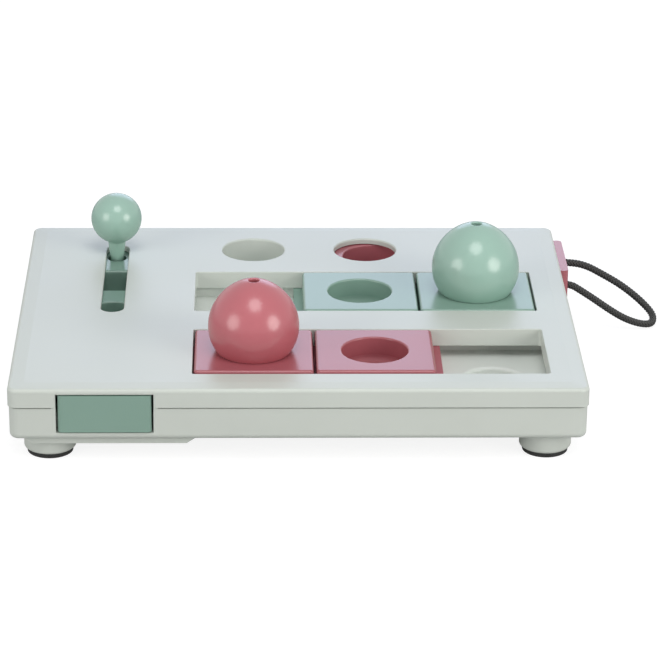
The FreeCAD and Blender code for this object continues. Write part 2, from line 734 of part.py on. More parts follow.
def make_well_tray():
    """Model the inner tray: six treat wells in a deck between the slider rails."""
    body = new_body("well_tray")
    left, right = size("tray_left"), size("tray_right")
    front, back = size("tray_front"), size("tray_back")
    wall, deck = size("tray_wall"), size("tray_deck")
    under = deck - size("tray_deck_thick")
    floor = size("base_level") + size("base_floor")

    outline = new_sketch(body, "TrayOutline", level=floor)
    add_rectangle(outline, left - wall, right + wall, front - wall, back + wall)
    grow(body, "TrayBlock", outline, size("rail_top") - floor)
    below = new_sketch(body, "TrayUnderside", level=floor)
    add_rectangle(below, left, right, front, back)
    cut(body, "TrayUnderHollow", below, under - floor, upward=True)
    above = new_sketch(body, "TrayUpperSide", level=size("rail_top"))
    add_rectangle(above, left, right, front, size("middle_rail_front"))
    add_rectangle(above, left, right, size("middle_rail_back"), back)
    cut(body, "TrayChannels", above, size("rail_top") - deck)

    spots = [(column, row) for column in columns() for row in (size("front_row"), size("rear_row"))]
    shells = new_sketch(body, "WellShells", level=size("well_bottom") - size("well_wall"))
    wells = new_sketch(body, "WellOutlines", level=deck)
    for column, row in spots:
        add_circle(shells, column, row, size("well_radius") + size("well_wall"))
        add_circle(wells, column, row, size("well_radius"))
    grow(body, "WellWalls", shells, under - size("well_bottom") + size("well_wall") + 0.2)
    cut(body, "Wells", wells, deck - size("well_bottom"))
    soften(body, "WellBottoms", round_edges(SIZES["well_bottom"], SIZES["well_radius"]), size("well_round"))
    soften(body, "WellRims", round_edges(SIZES["tray_deck"], SIZES["well_radius"]), size("well_rim"))

    bosses = new_sketch(body, "TrayBosses", level=floor)
    bores = new_sketch(body, "TrayBossBores", level=floor)
    for along, across in tray_screw_spots():
        add_circle(bosses, along, across, size("tray_boss_radius"))
        add_circle(bores, along, across, size("thread_bore"))
    grow(body, "Bosses", bosses, under - floor + 0.2)
    cut(body, "BossBores", bores, under - floor, upward=True)
    return body


def make_slider(name, column, row, turn, outer_left):
    """Model one sliding cover: a raised block with a treat bowl on a wider guide slab."""
    body = new_body(name, (column, row, size("slider_level")), turn)
    half_x, half_y = size("slider_length") * 0.5, size("slider_width") * 0.5
    slab, height = size("slider_slab"), size("slider_height")
    outer, inner = size("slider_outer"), size("slider_inner")
    left, right = (outer, inner) if outer_left else (inner, outer)

    foot = new_sketch(body, "SlabOutline")
    add_rectangle(foot, -half_x - left, half_x + right, -half_y - size("slider_narrow"),
                  half_y + size("slider_wide"))
    grow(body, "Slab", foot, slab)
    block = new_sketch(body, "BlockOutline", level=slab)
    add_round_rectangle(block, -half_x, half_x, -half_y, half_y, size("slider_corner"))
    grow(body, "Block", block, height - slab)
    soften(body, "BlockEdge", lambda edge: at_level(edge, SIZES["slider_height"]), size("slider_round"))

    shell = size("slider_shell")
    under = new_sketch(body, "UndersideOutline")
    add_rectangle(under, -half_x + shell, half_x - shell, -half_y + shell, half_y - shell)
    add_circle(under, 0, 0, size("hole_radius") + shell)
    cut(body, "UnderHollow", under, height - shell, upward=True)
    bowl = new_sketch(body, "BowlOutline", level=height)
    add_circle(bowl, 0, 0, size("hole_radius"))
    cut(body, "Bowl", bowl, size("slider_bowl_depth"))
    bowl_floor = SIZES["slider_height"] - SIZES["slider_bowl_depth"]
    soften(body, "BowlRound", round_edges(bowl_floor, SIZES["hole_radius"]), size("bowl_round"))
    soften(body, "BowlRim", round_edges(SIZES["slider_height"], SIZES["hole_radius"]), size("edge_round"))
    return body


def make_dome(name, column, row):
    """Model one lift-off dome: a hollow shell with a vent on top and a spigot below."""
    level = size("slider_level") + size("slider_height")
    body = new_body(name, (column, row, level))
    profile = new_sketch(body, "DomeProfile", plane="XZ_Plane")
    radius, centre = SIZES["dome_radius"], SIZES["dome_centre"]
    crown, wall = SIZES["dome_crown_radius"], SIZES["dome_wall"]
    rise = math.radians(SIZES["dome_crown_from_deg"])
    gap, vent = SIZES["dome_gap"], SIZES["dome_vent"]
    spigot_out, spigot_in, depth = SIZES["spigot_outer"], SIZES["spigot_inner"], SIZES["spigot_depth"]

    ball = Part.Circle(Vector(0, centre, 0), Vector(0, 0, 1), radius)
    shift = crown - radius
    crown_centre = Vector(-shift * math.cos(rise), centre - shift * math.sin(rise), 0)
    cap = Part.Circle(crown_centre, Vector(0, 0, 1), crown)
    base_angle = math.asin((gap - centre) / radius)
    vent_angle = math.acos((vent - crown_centre.x) / crown)
    inner = Part.Circle(Vector(0, centre, 0), Vector(0, 0, 1), radius - wall)
    inner_low = -math.acos(spigot_in / (radius - wall))
    inner_high = math.acos(vent / (radius - wall))

    outer_arc = sketch_arc(profile, ball, base_angle, rise)
    crown_arc = sketch_arc(profile, cap, rise, vent_angle)
    inner_arc = sketch_arc(profile, inner, inner_low, inner_high)
    base_point = ball.value(base_angle)
    vent_top, vent_bottom = cap.value(vent_angle), inner.value(inner_high)
    inner_foot = inner.value(inner_low)
    corners = [base_point, Vector(spigot_out, gap, 0), Vector(spigot_out, -depth, 0),
               Vector(spigot_in, -depth, 0), inner_foot]
    foot_lines = [profile.addGeometry(Part.LineSegment(first, second), False)
                  for first, second in zip(corners, corners[1:])]
    vent_line = profile.addGeometry(Part.LineSegment(vent_top, vent_bottom), False)

    join = Sketcher.Constraint
    profile.addConstraint(join("Tangent", outer_arc, 2, crown_arc, 1))
    profile.addConstraint(join("Coincident", crown_arc, 2, vent_line, 1))
    profile.addConstraint(join("Coincident", vent_line, 2, inner_arc, 2))
    profile.addConstraint(join("Coincident", outer_arc, 1, foot_lines[0], 1))
    for first, second in zip(foot_lines, foot_lines[1:]):
        profile.addConstraint(join("Coincident", first, 2, second, 1))
    profile.addConstraint(join("Coincident", foot_lines[-1], 2, inner_arc, 1))
    profile.addConstraint(join("Vertical", vent_line))
    profile.addConstraint(join("Horizontal", foot_lines[0]))
    profile.addConstraint(join("Vertical", foot_lines[1]))
    profile.addConstraint(join("Horizontal", foot_lines[2]))
    profile.addConstraint(join("Vertical", foot_lines[3]))
    dimension(profile, "Radius", size("dome_radius"), outer_arc)
    dimension(profile, "Radius", size("dome_crown_radius"), crown_arc)
    dimension(profile, "Radius", size("dome_radius") - size("dome_wall"), inner_arc)
    fix_point(profile, outer_arc, 3, ZERO, size("dome_centre"))
    fix_point(profile, inner_arc, 3, ZERO, size("dome_centre"))
    crown_start = size("dome_centre") + size("dome_radius") * sine(size("dome_crown_from_deg"))
    fix_point(profile, outer_arc, 2, None, crown_start)
    fix_point(profile, vent_line, 1, size("dome_vent"), None)
    fix_point(profile, foot_lines[0], 2, size("spigot_outer"), size("dome_gap"))
    fix_point(profile, foot_lines[2], 2, size("spigot_inner"), -size("spigot_depth"))
    spin(body, "DomeShell", profile)
    vent_level = vent_top.y
    soften(body, "VentRim", round_edges(vent_level, vent), size("edge_round") * 0.75)
    soften(body, "BaseRim", round_edges(gap, base_point.x), size("edge_round") * 0.5)
    return body


def sketch_arc(sketch, circle, start, end):
    """Draw an arc of a circle between two angles."""
    return sketch.addGeometry(Part.ArcOfCircle(circle, start, end), False)


def make_lever():
    """Model the lever: a ball knob on a flared stem with a pin for the drawer's block."""
    place = (size("slot_centre") + size("lever_offset"), -size("case_width") * 0.5 + size("socket_y"),
             size("drawer_level") + size("block_top") - size("socket_depth"))
    body = new_body("lever", place)
    profile = new_sketch(body, "LeverProfile", plane="XZ_Plane")
    ball, height = SIZES["ball_radius"], SIZES["ball_height"]
    stem_low, stem_high = SIZES["stem_bottom_radius"], SIZES["stem_top_radius"]
    pin, length = SIZES["pin_radius"] - SIZES["pin_gap"], SIZES["pin_length"]
    circle = Part.Circle(Vector(0, height, 0), Vector(0, 0, 1), ball)
    neck = -math.acos(stem_high / ball)
    top = Vector(0, height + ball, 0)
    neck_point = circle.value(neck)
    corners = [top, Vector(0, -length, 0), Vector(pin, -length, 0), Vector(pin, 0, 0),
               Vector(stem_low, 0, 0), neck_point]
    arc = sketch_arc(profile, circle, neck, math.pi / 2)
    lines = [profile.addGeometry(Part.LineSegment(first, second), False)
             for first, second in zip(corners, corners[1:])]
    join = Sketcher.Constraint
    profile.addConstraint(join("Coincident", arc, 2, lines[0], 1))
    for first, second in zip(lines, lines[1:]):
        profile.addConstraint(join("Coincident", first, 2, second, 1))
    profile.addConstraint(join("Coincident", lines[-1], 2, arc, 1))
    for index, direction in enumerate(("Vertical", "Horizontal", "Vertical", "Horizontal")):
        profile.addConstraint(join(direction, lines[index]))
    dimension(profile, "Radius", size("ball_radius"), arc)
    fix_point(profile, arc, 3, ZERO, size("ball_height"))
    fix_point(profile, lines[0], 2, ZERO, -size("pin_length"))
    fix_point(profile, lines[2], 2, size("pin_radius") - size("pin_gap"), ZERO)
    fix_point(profile, lines[3], 2, size("stem_bottom_radius"), None)
    fix_point(profile, arc, 1, size("stem_top_radius"), None)
    spin(body, "LeverShape", profile)
    soften(body, "Neck", round_edges(neck_point.y, stem_high), 1.5)
    bore = new_sketch(body, "ScrewBore", level=-size("pin_length"))
    add_circle(bore, 0, 0, size("lever_bore"))
    cut(body, "LeverScrewBore", bore, size("lever_bore_depth"), upward=True)
    return body


def make_front_drawer():
    """Model the front drawer: face, treat box, bridge with a cup, and the block of the lever."""
    place = (size("slot_centre"), -size("case_width") * 0.5, size("drawer_level"))
    body = new_body("front_drawer", place)
    half, length = size("drawer_half"), size("front_drawer_length")
    deck, face = size("front_deck"), size("face_thick")

    plan = new_sketch(body, "DeckOutline")
    add_rectangle(plan, -half, half, face - 0.4, length)
    grow(body, "Deck", plan, deck)
    box = new_sketch(body, "BoxOutline", level=deck - 0.5)
    add_rectangle(box, -half, half, face - 0.4, size("bridge_back"))
    grow(body, "Box", box, size("front_box_top") - deck + 0.5)
    plate = new_sketch(body, "FaceOutline", level=size("face_bottom"))
    add_rectangle(plate, -size("face_half"), size("face_half"), 0, face)
    grow(body, "Face", plate, size("face_top") - size("face_bottom"))
    front_edges = [(-SIZES["face_half"], 0.0), (SIZES["face_half"], 0.0)]
    soften(body, "FaceEdges", upright_at(front_edges), size("face_edge"))

    wall = size("front_box_wall")
    inside = new_sketch(body, "BoxInside", level=size("front_box_top"))
    add_round_rectangle(inside, -half + wall, half - wall, face + 0.4, size("front_box_back") - wall,
                        size("front_box_corner"))
    cut(body, "BoxHollow", inside, size("front_box_top") - size("front_box_floor"))
    box_floor = SIZES["front_box_floor"]
    inner_back = SIZES["front_box_back"] - SIZES["front_box_wall"]
    soften(body, "BoxFloorRound",
           lambda edge: at_level(edge, box_floor) and edge.BoundBox.YMax < inner_back + 0.1, 3)

    block_half = size("block_half")
    block = new_sketch(body, "BlockOutline", level=deck - 0.5)
    add_rectangle(block, -block_half, block_half, size("block_front"), size("block_back"))
    grow(body, "LeverBlock", block, size("block_top") - deck + 0.5)
    rear_of_block = SIZES["block_back"] - 0.1
    soften(body, "BlockEdges", lambda edge: at_level(edge, SIZES["block_top"])
           and edge.BoundBox.YMin < rear_of_block and edge.BoundBox.YMin > SIZES["block_front"] - 0.1, 1.2)
    socket = new_sketch(body, "SocketOutline", level=size("block_top"))
    add_circle(socket, size("lever_offset"), size("socket_y"), size("socket_radius"))
    cut(body, "Socket", socket, size("socket_depth"))
    pin = new_sketch(body, "PinHoleOutline", level=size("block_top"))
    add_circle(pin, size("lever_offset"), size("socket_y"), size("pin_radius"))
    cut(body, "PinHole", pin, size("socket_depth") + size("pin_length"))

    top, bridge_back, rib = size("front_box_top"), size("bridge_back"), size("rib_wall")
    cup_ends = (size("rear_cup_front"), size("rear_cup_back"))
    cup_radius = size("rear_cup_radius")
    cup = new_sketch(body, "RearCupOutline", level=top)
    add_slot(cup, 0, *cup_ends, cup_radius)
    cut(body, "RearCup", cup, size("rear_cup_depth"))
    cup_area = inside_of(-cup_radius.value - 0.1, cup_radius.value + 0.1,
                         SIZES["rear_cup_front"] - 0.1, SIZES["rear_cup_back"] + 0.1)
    cup_floor = SIZES["front_box_top"] - SIZES["rear_cup_depth"]
    soften(body, "RearCupRound", lambda edge: at_level(edge, cup_floor) and cup_area(edge), size("bowl_round"))
    soften(body, "BridgeEdges", lambda edge: at_level(edge, SIZES["front_box_top"])
           and (cup_area(edge) or edge.BoundBox.YMin > SIZES["bridge_back"] - 0.1), size("bridge_round"))

    bridge_under = new_sketch(body, "BridgeUndersideOutline")
    add_rectangle(bridge_under, -half + rib, half - rib, size("front_box_back"), bridge_back - rib)
    add_slot(bridge_under, 0, cup_ends[0] - rib, cup_ends[1] + rib, cup_radius + rib)
    cut(body, "BridgeUnderHollow", bridge_under, top - rib, upward=True)
    cup_under = new_sketch(body, "CupUndersideOutline")
    add_slot(cup_under, 0, *cup_ends, cup_radius)
    cut(body, "CupUnderHollow", cup_under, top - size("rear_cup_depth") - rib, upward=True)
    deck_under = new_sketch(body, "DeckUndersideOutline")
    add_rectangle(deck_under, -half + rib, half - rib, bridge_back, length - rib)
    cut(body, "DeckUnderHollow", deck_under, deck - rib, upward=True)
    return body


def make_side_drawer():
    """Model the side drawer: face with two cord holes, two deep cups and stop lugs."""
    place = (size("case_length") * 0.5 + size("side_drawer_open"), size("hole_row"), size("drawer_level"))
    body = new_body("side_drawer", place)
    half, length = size("drawer_half"), size("side_drawer_length")
    deck, face = size("side_deck"), size("face_thick")
    near = -size("near_cup")
    far = near - size("column_pitch")

    plan = new_sketch(body, "DrawerOutline")
    add_rectangle(plan, -length, -face + 0.4, -half, half)
    grow(body, "DrawerBlock", plan, size("lug_bottom"))
    cups = new_sketch(body, "UpperOutline", level=size("lug_bottom") - 0.5)
    add_rectangle(cups, -size("lug_far"), -face + 0.4, -half, half)
    grow(body, "UpperBlock", cups, deck - size("lug_bottom") + 0.5)
    plate = new_sketch(body, "FaceOutline", level=size("face_bottom"))
    add_rectangle(plate, -face, 0, -size("face_half"), size("face_half"))
    grow(body, "Face", plate, deck - size("face_bottom"))
    outer_edges = [(0.0, -SIZES["face_half"]), (0.0, SIZES["face_half"])]
    soften(body, "FaceEdges", upright_at(outer_edges), size("face_edge"))
    lugs = new_sketch(body, "LugOutline", level=size("lug_bottom"))
    add_rectangle(lugs, -size("lug_far"), -size("lug_near"), -size("lug_reach"), size("lug_reach"))
    grow(body, "Lugs", lugs, size("lug_top") - size("lug_bottom"))

    rib, cup_wall = size("rib_wall"), size("cup_wall")
    under = new_sketch(body, "UndersideOutline")
    add_rectangle(under, -size("lug_far") + rib, -face, -half + rib, half - rib)
    for centre in (near, far):
        add_circle(under, centre, 0, size("cup_radius") + cup_wall)
    cut(body, "UnderHollow", under, deck - rib, upward=True)
    tail = new_sketch(body, "TailUndersideOutline")
    add_rectangle(tail, -length + rib, -size("lug_far") - 1, -half + rib, half - rib)
    cut(body, "TailHollow", tail, size("lug_bottom") - rib, upward=True)
    cup = new_sketch(body, "CupOutlines", level=deck)
    for centre in (near, far):
        add_circle(cup, centre, 0, size("cup_radius"))
    cut(body, "Cups", cup, size("cup_depth"))
    cup_floor = SIZES["side_deck"] - SIZES["cup_depth"]
    soften(body, "CupRounds", round_edges(cup_floor, SIZES["cup_radius"]), size("bowl_round"))
    soften(body, "CupRims", round_edges(SIZES["side_deck"], SIZES["cup_radius"]), size("edge_round"))

    holes = new_sketch(body, "CordHoles", plane="YZ_Plane", level=1)
    for side in (-1, 1):
        add_circle(holes, size("cord_hole_offset") * side, size("cord_hole_level"), size("cord_hole_radius"))
    cut(body, "CordHoles", holes, face + 2)
    return body


def make_foot_pad(name, x_sign, y_sign):
    """Model one rubber pad with a raised middle that sits in the foot."""
    place = (size("foot_x") * x_sign, size("foot_y") * y_sign, ZERO)
    body = new_body(name, place)
    disc = new_sketch(body, "PadOutline")
    add_circle(disc, 0, 0, size("pad_radius"))
    grow(body, "Pad", disc, size("pad_thick"))
    soften(body, "PadEdge", round_edges(0.0, SIZES["pad_radius"]), 0.4)
    plug = new_sketch(body, "PlugOutline", level=size("pad_thick") - 0.1)
    add_circle(plug, 0, 0, size("pad_radius") - 1.1)
    grow(body, "Plug", plug, size("pad_seat"))
    return body


def screw_parts(name, place, head_radius, head_height, shank_radius, length):
    """Make a pan-head screw that points up from a head's underside, as bound primitives."""
    head = DOC.addObject("Part::Cylinder", f"{name}Head")
    bind(head, "Radius", head_radius)
    bind(head, "Height", head_height)
    shank = DOC.addObject("Part::Cylinder", f"{name}Shank")
    bind(shank, "Radius", shank_radius)
    bind(shank, "Height", Dim.of(length) + head_height * 0.5)
    put(head, (place[0], place[1], place[2] - head_height))
    put(shank, (place[0], place[1], place[2] - head_height * 0.5))
    drive = DOC.addObject("Part::Prism", f"{name}Drive")
    drive.Polygon = 6
    bind(drive, "Circumradius", head_radius * 0.45)
    bind(drive, "Height", head_height * 0.5)
    put(drive, (place[0], place[1], place[2] - head_height))
    joined = DOC.addObject("Part::Fuse", f"{name}Blank")
    joined.Base = head
    joined.Tool = shank
    screw = DOC.addObject("Part::Cut", name)
    screw.Base = joined
    screw.Tool = drive
    return screw


def make_screw_group(label, spots, seat, length):
    """Make a set of equal screws as one group of separate solids."""
    screws = []
    for index, (along, across) in enumerate(spots, 1):
        place = (Dim.of(along), Dim.of(across), Dim.of(seat))
        screws.append(screw_parts(f"{label}{index}", place, size("screw_head_radius"),
                                  size("screw_head_height"), size("thread_bore"), length))
    group = DOC.addObject("Part::Compound", label)
    group.Label = label
    group.Links = screws
    return group


def make_lever_screw():
    """Make the small screw that holds the lever's pin from below."""
    seat = size("drawer_level") + size("block_top") - size("socket_depth") - size("pin_length")
    across = size("socket_y") - size("case_width") * 0.5
    place = (size("slot_centre") + size("lever_offset"), across, seat)
    screw = screw_parts("lever_screw", place, size("lever_screw_head"), size("screw_head_height"),
                        size("lever_bore"), size("lever_screw_length"))
    screw.Label = "lever_screw"
    return screw


def cord_route():
    """Return the loop's points from the far cord hole round its tip to the near one."""
    inner = SIZES["case_length"] / 2 + SIZES["side_drawer_open"] - SIZES["face_thick"]
    far = SIZES["hole_row"] + SIZES["cord_hole_offset"]
    near = SIZES["hole_row"] - SIZES["cord_hole_offset"]
    level = SIZES["drawer_level"] + SIZES["cord_hole_level"]
    return [
        Vector(inner, far, level),
        Vector(133.6, far, level),
        Vector(141.3, 81.0, 22.9),
        Vector(149.2, 78.4, 19.3),
        Vector(157.2, 75.0, 15.6),
        Vector(164.8, 71.4, 10.7),
        Vector(171.0, 67.6, 5.6),
        Vector(172.9, 62.4, 3.5),
        Vector(171.2, 57.0, 1.9),
        Vector(165.4, 54.2, 3.2),
        Vector(157.6, 53.1, 6.4),
        Vector(149.8, 52.9, 11.4),
        Vector(142.6, 53.0, 16.6),
        Vector(136.3, 53.1, 20.8),
        Vector(131.2, near, level),
        Vector(inner, near, level),
    ]


def round_path(points):
    """Join straight runs with tangent arcs; return the wire and the arcs' radii."""
    edges, radii = [], []
    start = points[0]
    for before, corner, after in zip(points, points[1:], points[2:]):
        incoming = (corner - before).normalize()
        outgoing = (after - corner).normalize()
        turn = incoming.getAngle(outgoing)
        setback = 0.45 * min((corner - before).Length, (after - corner).Length)
        radius = setback / math.tan(turn / 2)
        entry = corner - incoming * setback
        leave = corner + outgoing * setback
        bisector = (outgoing - incoming).normalize()
        centre = corner + bisector * math.hypot(radius, setback)
        middle = centre - bisector * radius
        edges.append(Part.LineSegment(start, entry).toShape())
        edges.append(Part.Arc(entry, middle, leave).toShape())
        radii.append(radius)
        start = leave
    edges.append(Part.LineSegment(start, points[-1]).toShape())
    return Part.Wire(edges), radii


def make_pull_cord():
    """Sweep the pull cord's tube along its loop."""
    path, radii = round_path(cord_route())
    start, ahead = cord_route()[:2]
    circle = Part.Circle(start, ahead - start, SIZES["cord_radius"])
    section = Part.Wire(circle.toShape())
    tube = path.makePipeShell([section], True, False)
    expected = math.pi * SIZES["cord_radius"] ** 2 * path.Length
    print("cord length", round(path.Length, 1), "least radius", round(min(radii), 1))
    print("cord radii", [round(radius, 1) for radius in radii])
    if abs(tube.Volume - expected) > 0.01 * expected:
        raise RuntimeError("the cord's tube has the wrong volume")
    cord = DOC.addObject("Part::Feature", "pull_cord")
    cord.Label = "pull_cord"
    cord.Shape = tube
    cord.Placement = FreeCAD.Placement(Vector(CASE_X.value, 0, 0), FreeCAD.Rotation())
    return cord


def make_knots():
    """Model the two stopper knots behind the side drawer's face."""
    inner = size("case_length") * 0.5 + size("side_drawer_open") - size("face_thick")
    knots = []
    for index, side in enumerate((-1, 1), 1):
        barrel = DOC.addObject("Part::Cylinder", f"Knot{index}Barrel")
        bind(barrel, "Radius", size("knot_radius"))
        bind(barrel, "Height", size("knot_length"))
        barrel.Placement = FreeCAD.Placement(Vector(), FreeCAD.Rotation(Vector(0, 1, 0), 90))
        put(barrel, (inner - size("knot_length"), size("hole_row") + size("cord_hole_offset") * side,
                     size("drawer_level") + size("cord_hole_level")))
        DOC.recompute()
        rounded = DOC.addObject("Part::Fillet", f"Knot{index}")
        rounded.Base = barrel
        rims = [number for number, edge in enumerate(barrel.Shape.Edges, 1)
                if is_circle(edge, SIZES["knot_radius"])]
        rounded.Edges = [(number, 1.2, 1.2) for number in rims]
        knots.append(rounded)
    group = DOC.addObject("Part::Compound", "cord_knots")
    group.Label = "cord_knots"
    group.Links = knots
    return group


def make_parts():
    """Model every piece and return them in the order of assembly."""
    parts = [make_base_tray(), make_well_tray(), make_top_cover()]
    for name, signs in foot_spots().items():
        parts.append(make_foot_pad(f"foot_pad_{name}", *signs))
    seat = size("screw_seat")
    parts.append(make_screw_group("case_screws", case_screw_spots(), seat, size("screw_length")))
    parts.append(make_screw_group("tray_screws", tray_screw_spots(), size("base_level"),
                                  size("tray_screw_length")))
    front, rear = size("front_row"), size("rear_row")
    parts.append(make_slider("front_left_slider", size("front_left_slider"), front, 0, True))
    parts.append(make_slider("front_right_slider", size("front_right_slider"), front, 0, False))
    parts.append(make_slider("rear_left_slider", size("rear_left_slider"), rear, 180, False))
    parts.append(make_slider("rear_right_slider", size("rear_right_slider"), rear, 180, True))
    parts.append(make_dome("front_dome", size("front_left_slider"), front))
    parts.append(make_dome("rear_dome", size("rear_right_slider"), rear))
    parts += [make_front_drawer(), make_lever(), make_lever_screw()]
    parts += [make_side_drawer(), make_pull_cord(), make_knots()]
    return parts


def check_and_write(parts):
    """Stop on any failed object or bad shape, then write one file for each piece."""
    DOC.recompute()
    for item in DOC.Objects:
        if {"Invalid", "Error"} & set(item.State):
            raise RuntimeError(f"{item.Label} did not compute: {item.State}")
    os.makedirs("parts", exist_ok=True)
    for part in parts:
        shape = part.Shape
        if shape.isNull() or not shape.isValid() or not shape.Solids:
            raise RuntimeError(f"{part.Label} has no valid solid")
        box = shape.BoundBox
        print(f"{part.Label:20s} solids {len(shape.Solids)} volume {shape.Volume:9.1f}"
              f" x {box.XMin:7.2f} {box.XMax:7.2f} y {box.YMin:7.2f} {box.YMax:7.2f}"
              f" z {box.ZMin:6.2f} {box.ZMax:6.2f}")
        shape.exportStep(f"parts/{part.Label}.step")


fill_sheet()
check_and_write(make_parts())
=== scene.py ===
"""Looks of the cat puzzle feeder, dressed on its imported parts.

Everything is in metres in the frame of the parts: +Z up, +Y to the back, the floor at zero.
"""
import logging
import math
from dataclasses import dataclass, field
from enum import Enum

import bmesh
import bpy
from mathutils import Matrix, Vector


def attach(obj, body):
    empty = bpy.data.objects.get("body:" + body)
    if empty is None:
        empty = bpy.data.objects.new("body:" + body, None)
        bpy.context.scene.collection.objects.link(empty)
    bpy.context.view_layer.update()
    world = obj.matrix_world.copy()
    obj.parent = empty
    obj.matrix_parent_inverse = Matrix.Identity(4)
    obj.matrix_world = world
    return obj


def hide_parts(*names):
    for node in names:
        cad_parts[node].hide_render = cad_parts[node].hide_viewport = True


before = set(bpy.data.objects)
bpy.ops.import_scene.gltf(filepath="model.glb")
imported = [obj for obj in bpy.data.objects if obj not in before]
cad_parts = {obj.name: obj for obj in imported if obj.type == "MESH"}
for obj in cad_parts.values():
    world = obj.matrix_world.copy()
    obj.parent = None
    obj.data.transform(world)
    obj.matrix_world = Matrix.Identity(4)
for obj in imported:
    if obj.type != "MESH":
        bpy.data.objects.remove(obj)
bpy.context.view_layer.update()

LOG = logging.getLogger("cat_puzzle_feeder")
MM = 0.001
WHITE = (1.0, 1.0, 1.0, 1.0)
# ABS has an index of about 1.54. Each moulding's is matched to how strongly the real one shines.
FAINT_SHINE = 1.47
CLEAR_SHINE = 1.57
POLISHED_GRAIN = 0.003 * MM
# The slab of a slider, which runs under the cover, ends just below this level.
SLIDER_SLAB_TOP = 27.85 * MM
# The middles of the yarns lie this far apart on the yarn map.
YARN_SPACING = 1.0 * MM
# A face whose normal points this far up or down counts as level.
LEVEL_FACE = 0.9


class Gloss(Enum):
    """How a mould's polish leaves the plastic, as its roughness."""

    SATIN = 0.42
    SILKY = 0.24
    POLISHED = 0.23


class Hand(Enum):
    """The way round in which a strand of the braid winds."""

    RIGHT = 1
    LEFT = -1


def mm(*values: float) -> Vector:
    """Return a point or size given in millimetres, in metres."""
    return Vector(values) * MM


def linear(colour: str) -> tuple[float, float, float, float]:
    """Turn an sRGB hex colour into the linear values that shaders take.

    Args:
        colour: six hex digits after a hash sign.

    Returns:
        Red, green, blue and a full alpha.
    """
    # The numbers are those of the sRGB curve: a short straight foot and a power above it.
    parts = [int(colour[i:i + 2], 16) / 255 for i in (1, 3, 5)]
    red, green, blue = (p / 12.92 if p <= 0.04045 else ((p + 0.055) / 1.055) ** 2.4 for p in parts)
    return red, green, blue, 1.0


def add_node(tree: bpy.types.NodeTree, kind: str, settings: dict[str, object] | None = None,
             links: dict[str, bpy.types.NodeSocket] | None = None) -> bpy.types.Node:
    """Add a node to a tree, set it up and link its inputs.

    Args:
        tree: the node tree of a material or the world.
        kind: the node's type.
        settings: values by the name of a property or of an unlinked input.
        links: the output socket that feeds each named input.

    Returns:
        The new node.
    """
    node = tree.nodes.new(kind)
    for name, value in (settings or {}).items():
        if hasattr(node, name):
            setattr(node, name, value)
        else:
            node.inputs[name].default_value = value
    for name, source in (links or {}).items():
        tree.links.new(source, node.inputs[name])
    return node


def new_material(name: str) -> tuple[bpy.types.Material, bpy.types.NodeTree]:
    """Return an empty material and its node tree."""
    material = bpy.data.materials.new(name)
    material.use_nodes = True
    material.node_tree.nodes.clear()
    return material, material.node_tree


def new_object(name: str, data: bpy.types.ID) -> bpy.types.Object:
    """Put new data into the scene as an object at the origin and return it."""
    thing = bpy.data.objects.new(name, data)
    bpy.context.scene.collection.objects.link(thing)
    return thing


@dataclass(frozen=True)
class MouldedPlastic:
    """Injection-moulded ABS with the fine grain of a spark-eroded mould."""

    name: str
    colour: str
    flow_colour: str
    gloss: Gloss
    grain: float = 0.55 * MM
    grain_height: float = 0.006 * MM
    flow_size: float = 38 * MM
    flow_spread: tuple[float, float] = (0.2, 0.8)
    wave_size: float = 16 * MM
    wave_height: float = 0.02 * MM
    gloss_change: float = 0.04
    ior: float = 1.5
    # Sliding faces below this level are left matt by the mould.
    matt_level: float = 0.0
    matt_blend: float = 0.1 * MM
    matt_roughness: float = 0.62

    def build(self) -> bpy.types.Material:
        """Build the material.

        Returns:
            A plastic of the mould's gloss, with soft flow shades, a fine grain and slight waviness.
        """
        material, tree = new_material(self.name)
        place = add_node(tree, "ShaderNodeTexCoord").outputs["Object"]
        # Slow flow shades: the pigment is never quite even in a moulding.
        flow = add_node(tree, "ShaderNodeTexNoise", {"Scale": 1 / self.flow_size, "Detail": 2.0},
                        {"Vector": place})
        tone = add_node(tree, "ShaderNodeValToRGB", links={"Fac": flow.outputs["Fac"]})
        tone.color_ramp.interpolation = "EASE"
        thin, full = tone.color_ramp.elements
        thin.position, full.position = self.flow_spread
        thin.color, full.color = linear(self.flow_colour), linear(self.colour)
        # The grain breaks highlights up, and the wave keeps wide faces from looking ruled.
        grain = add_node(tree, "ShaderNodeTexNoise", {"Scale": 1 / self.grain, "Detail": 2.0},
                         {"Vector": place})
        wave = add_node(tree, "ShaderNodeTexNoise", {"Scale": 1 / self.wave_size, "Detail": 1.0},
                        {"Vector": place})
        polish = add_node(tree, "ShaderNodeMapRange", {
            "interpolation_type": "SMOOTHSTEP", "To Min": self.gloss.value - self.gloss_change,
            "To Max": self.gloss.value + self.gloss_change}, {"Value": flow.outputs["Fac"]})
        level = add_node(tree, "ShaderNodeSeparateXYZ", links={"Vector": place}).outputs["Z"]
        sheen = add_node(tree, "ShaderNodeMapRange", {
            "From Min": self.matt_level - self.matt_blend, "From Max": self.matt_level + self.matt_blend,
            "To Min": self.matt_roughness}, {"Value": level, "To Max": polish.outputs["Result"]})
        rough = add_node(tree, "ShaderNodeBump", {"Distance": self.grain_height},
                         {"Height": grain.outputs["Fac"]})
        bent = add_node(tree, "ShaderNodeBump", {"Distance": self.wave_height},
                        {"Height": wave.outputs["Fac"], "Normal": rough.outputs["Normal"]})
        shader = add_node(tree, "ShaderNodeBsdfPrincipled", {"IOR": self.ior}, {
            "Base Color": tone.outputs["Color"], "Roughness": sheen.outputs["Result"],
            "Normal": bent.outputs["Normal"]})
        add_node(tree, "ShaderNodeOutputMaterial", links={"Surface": shader.outputs["BSDF"]})
        return material


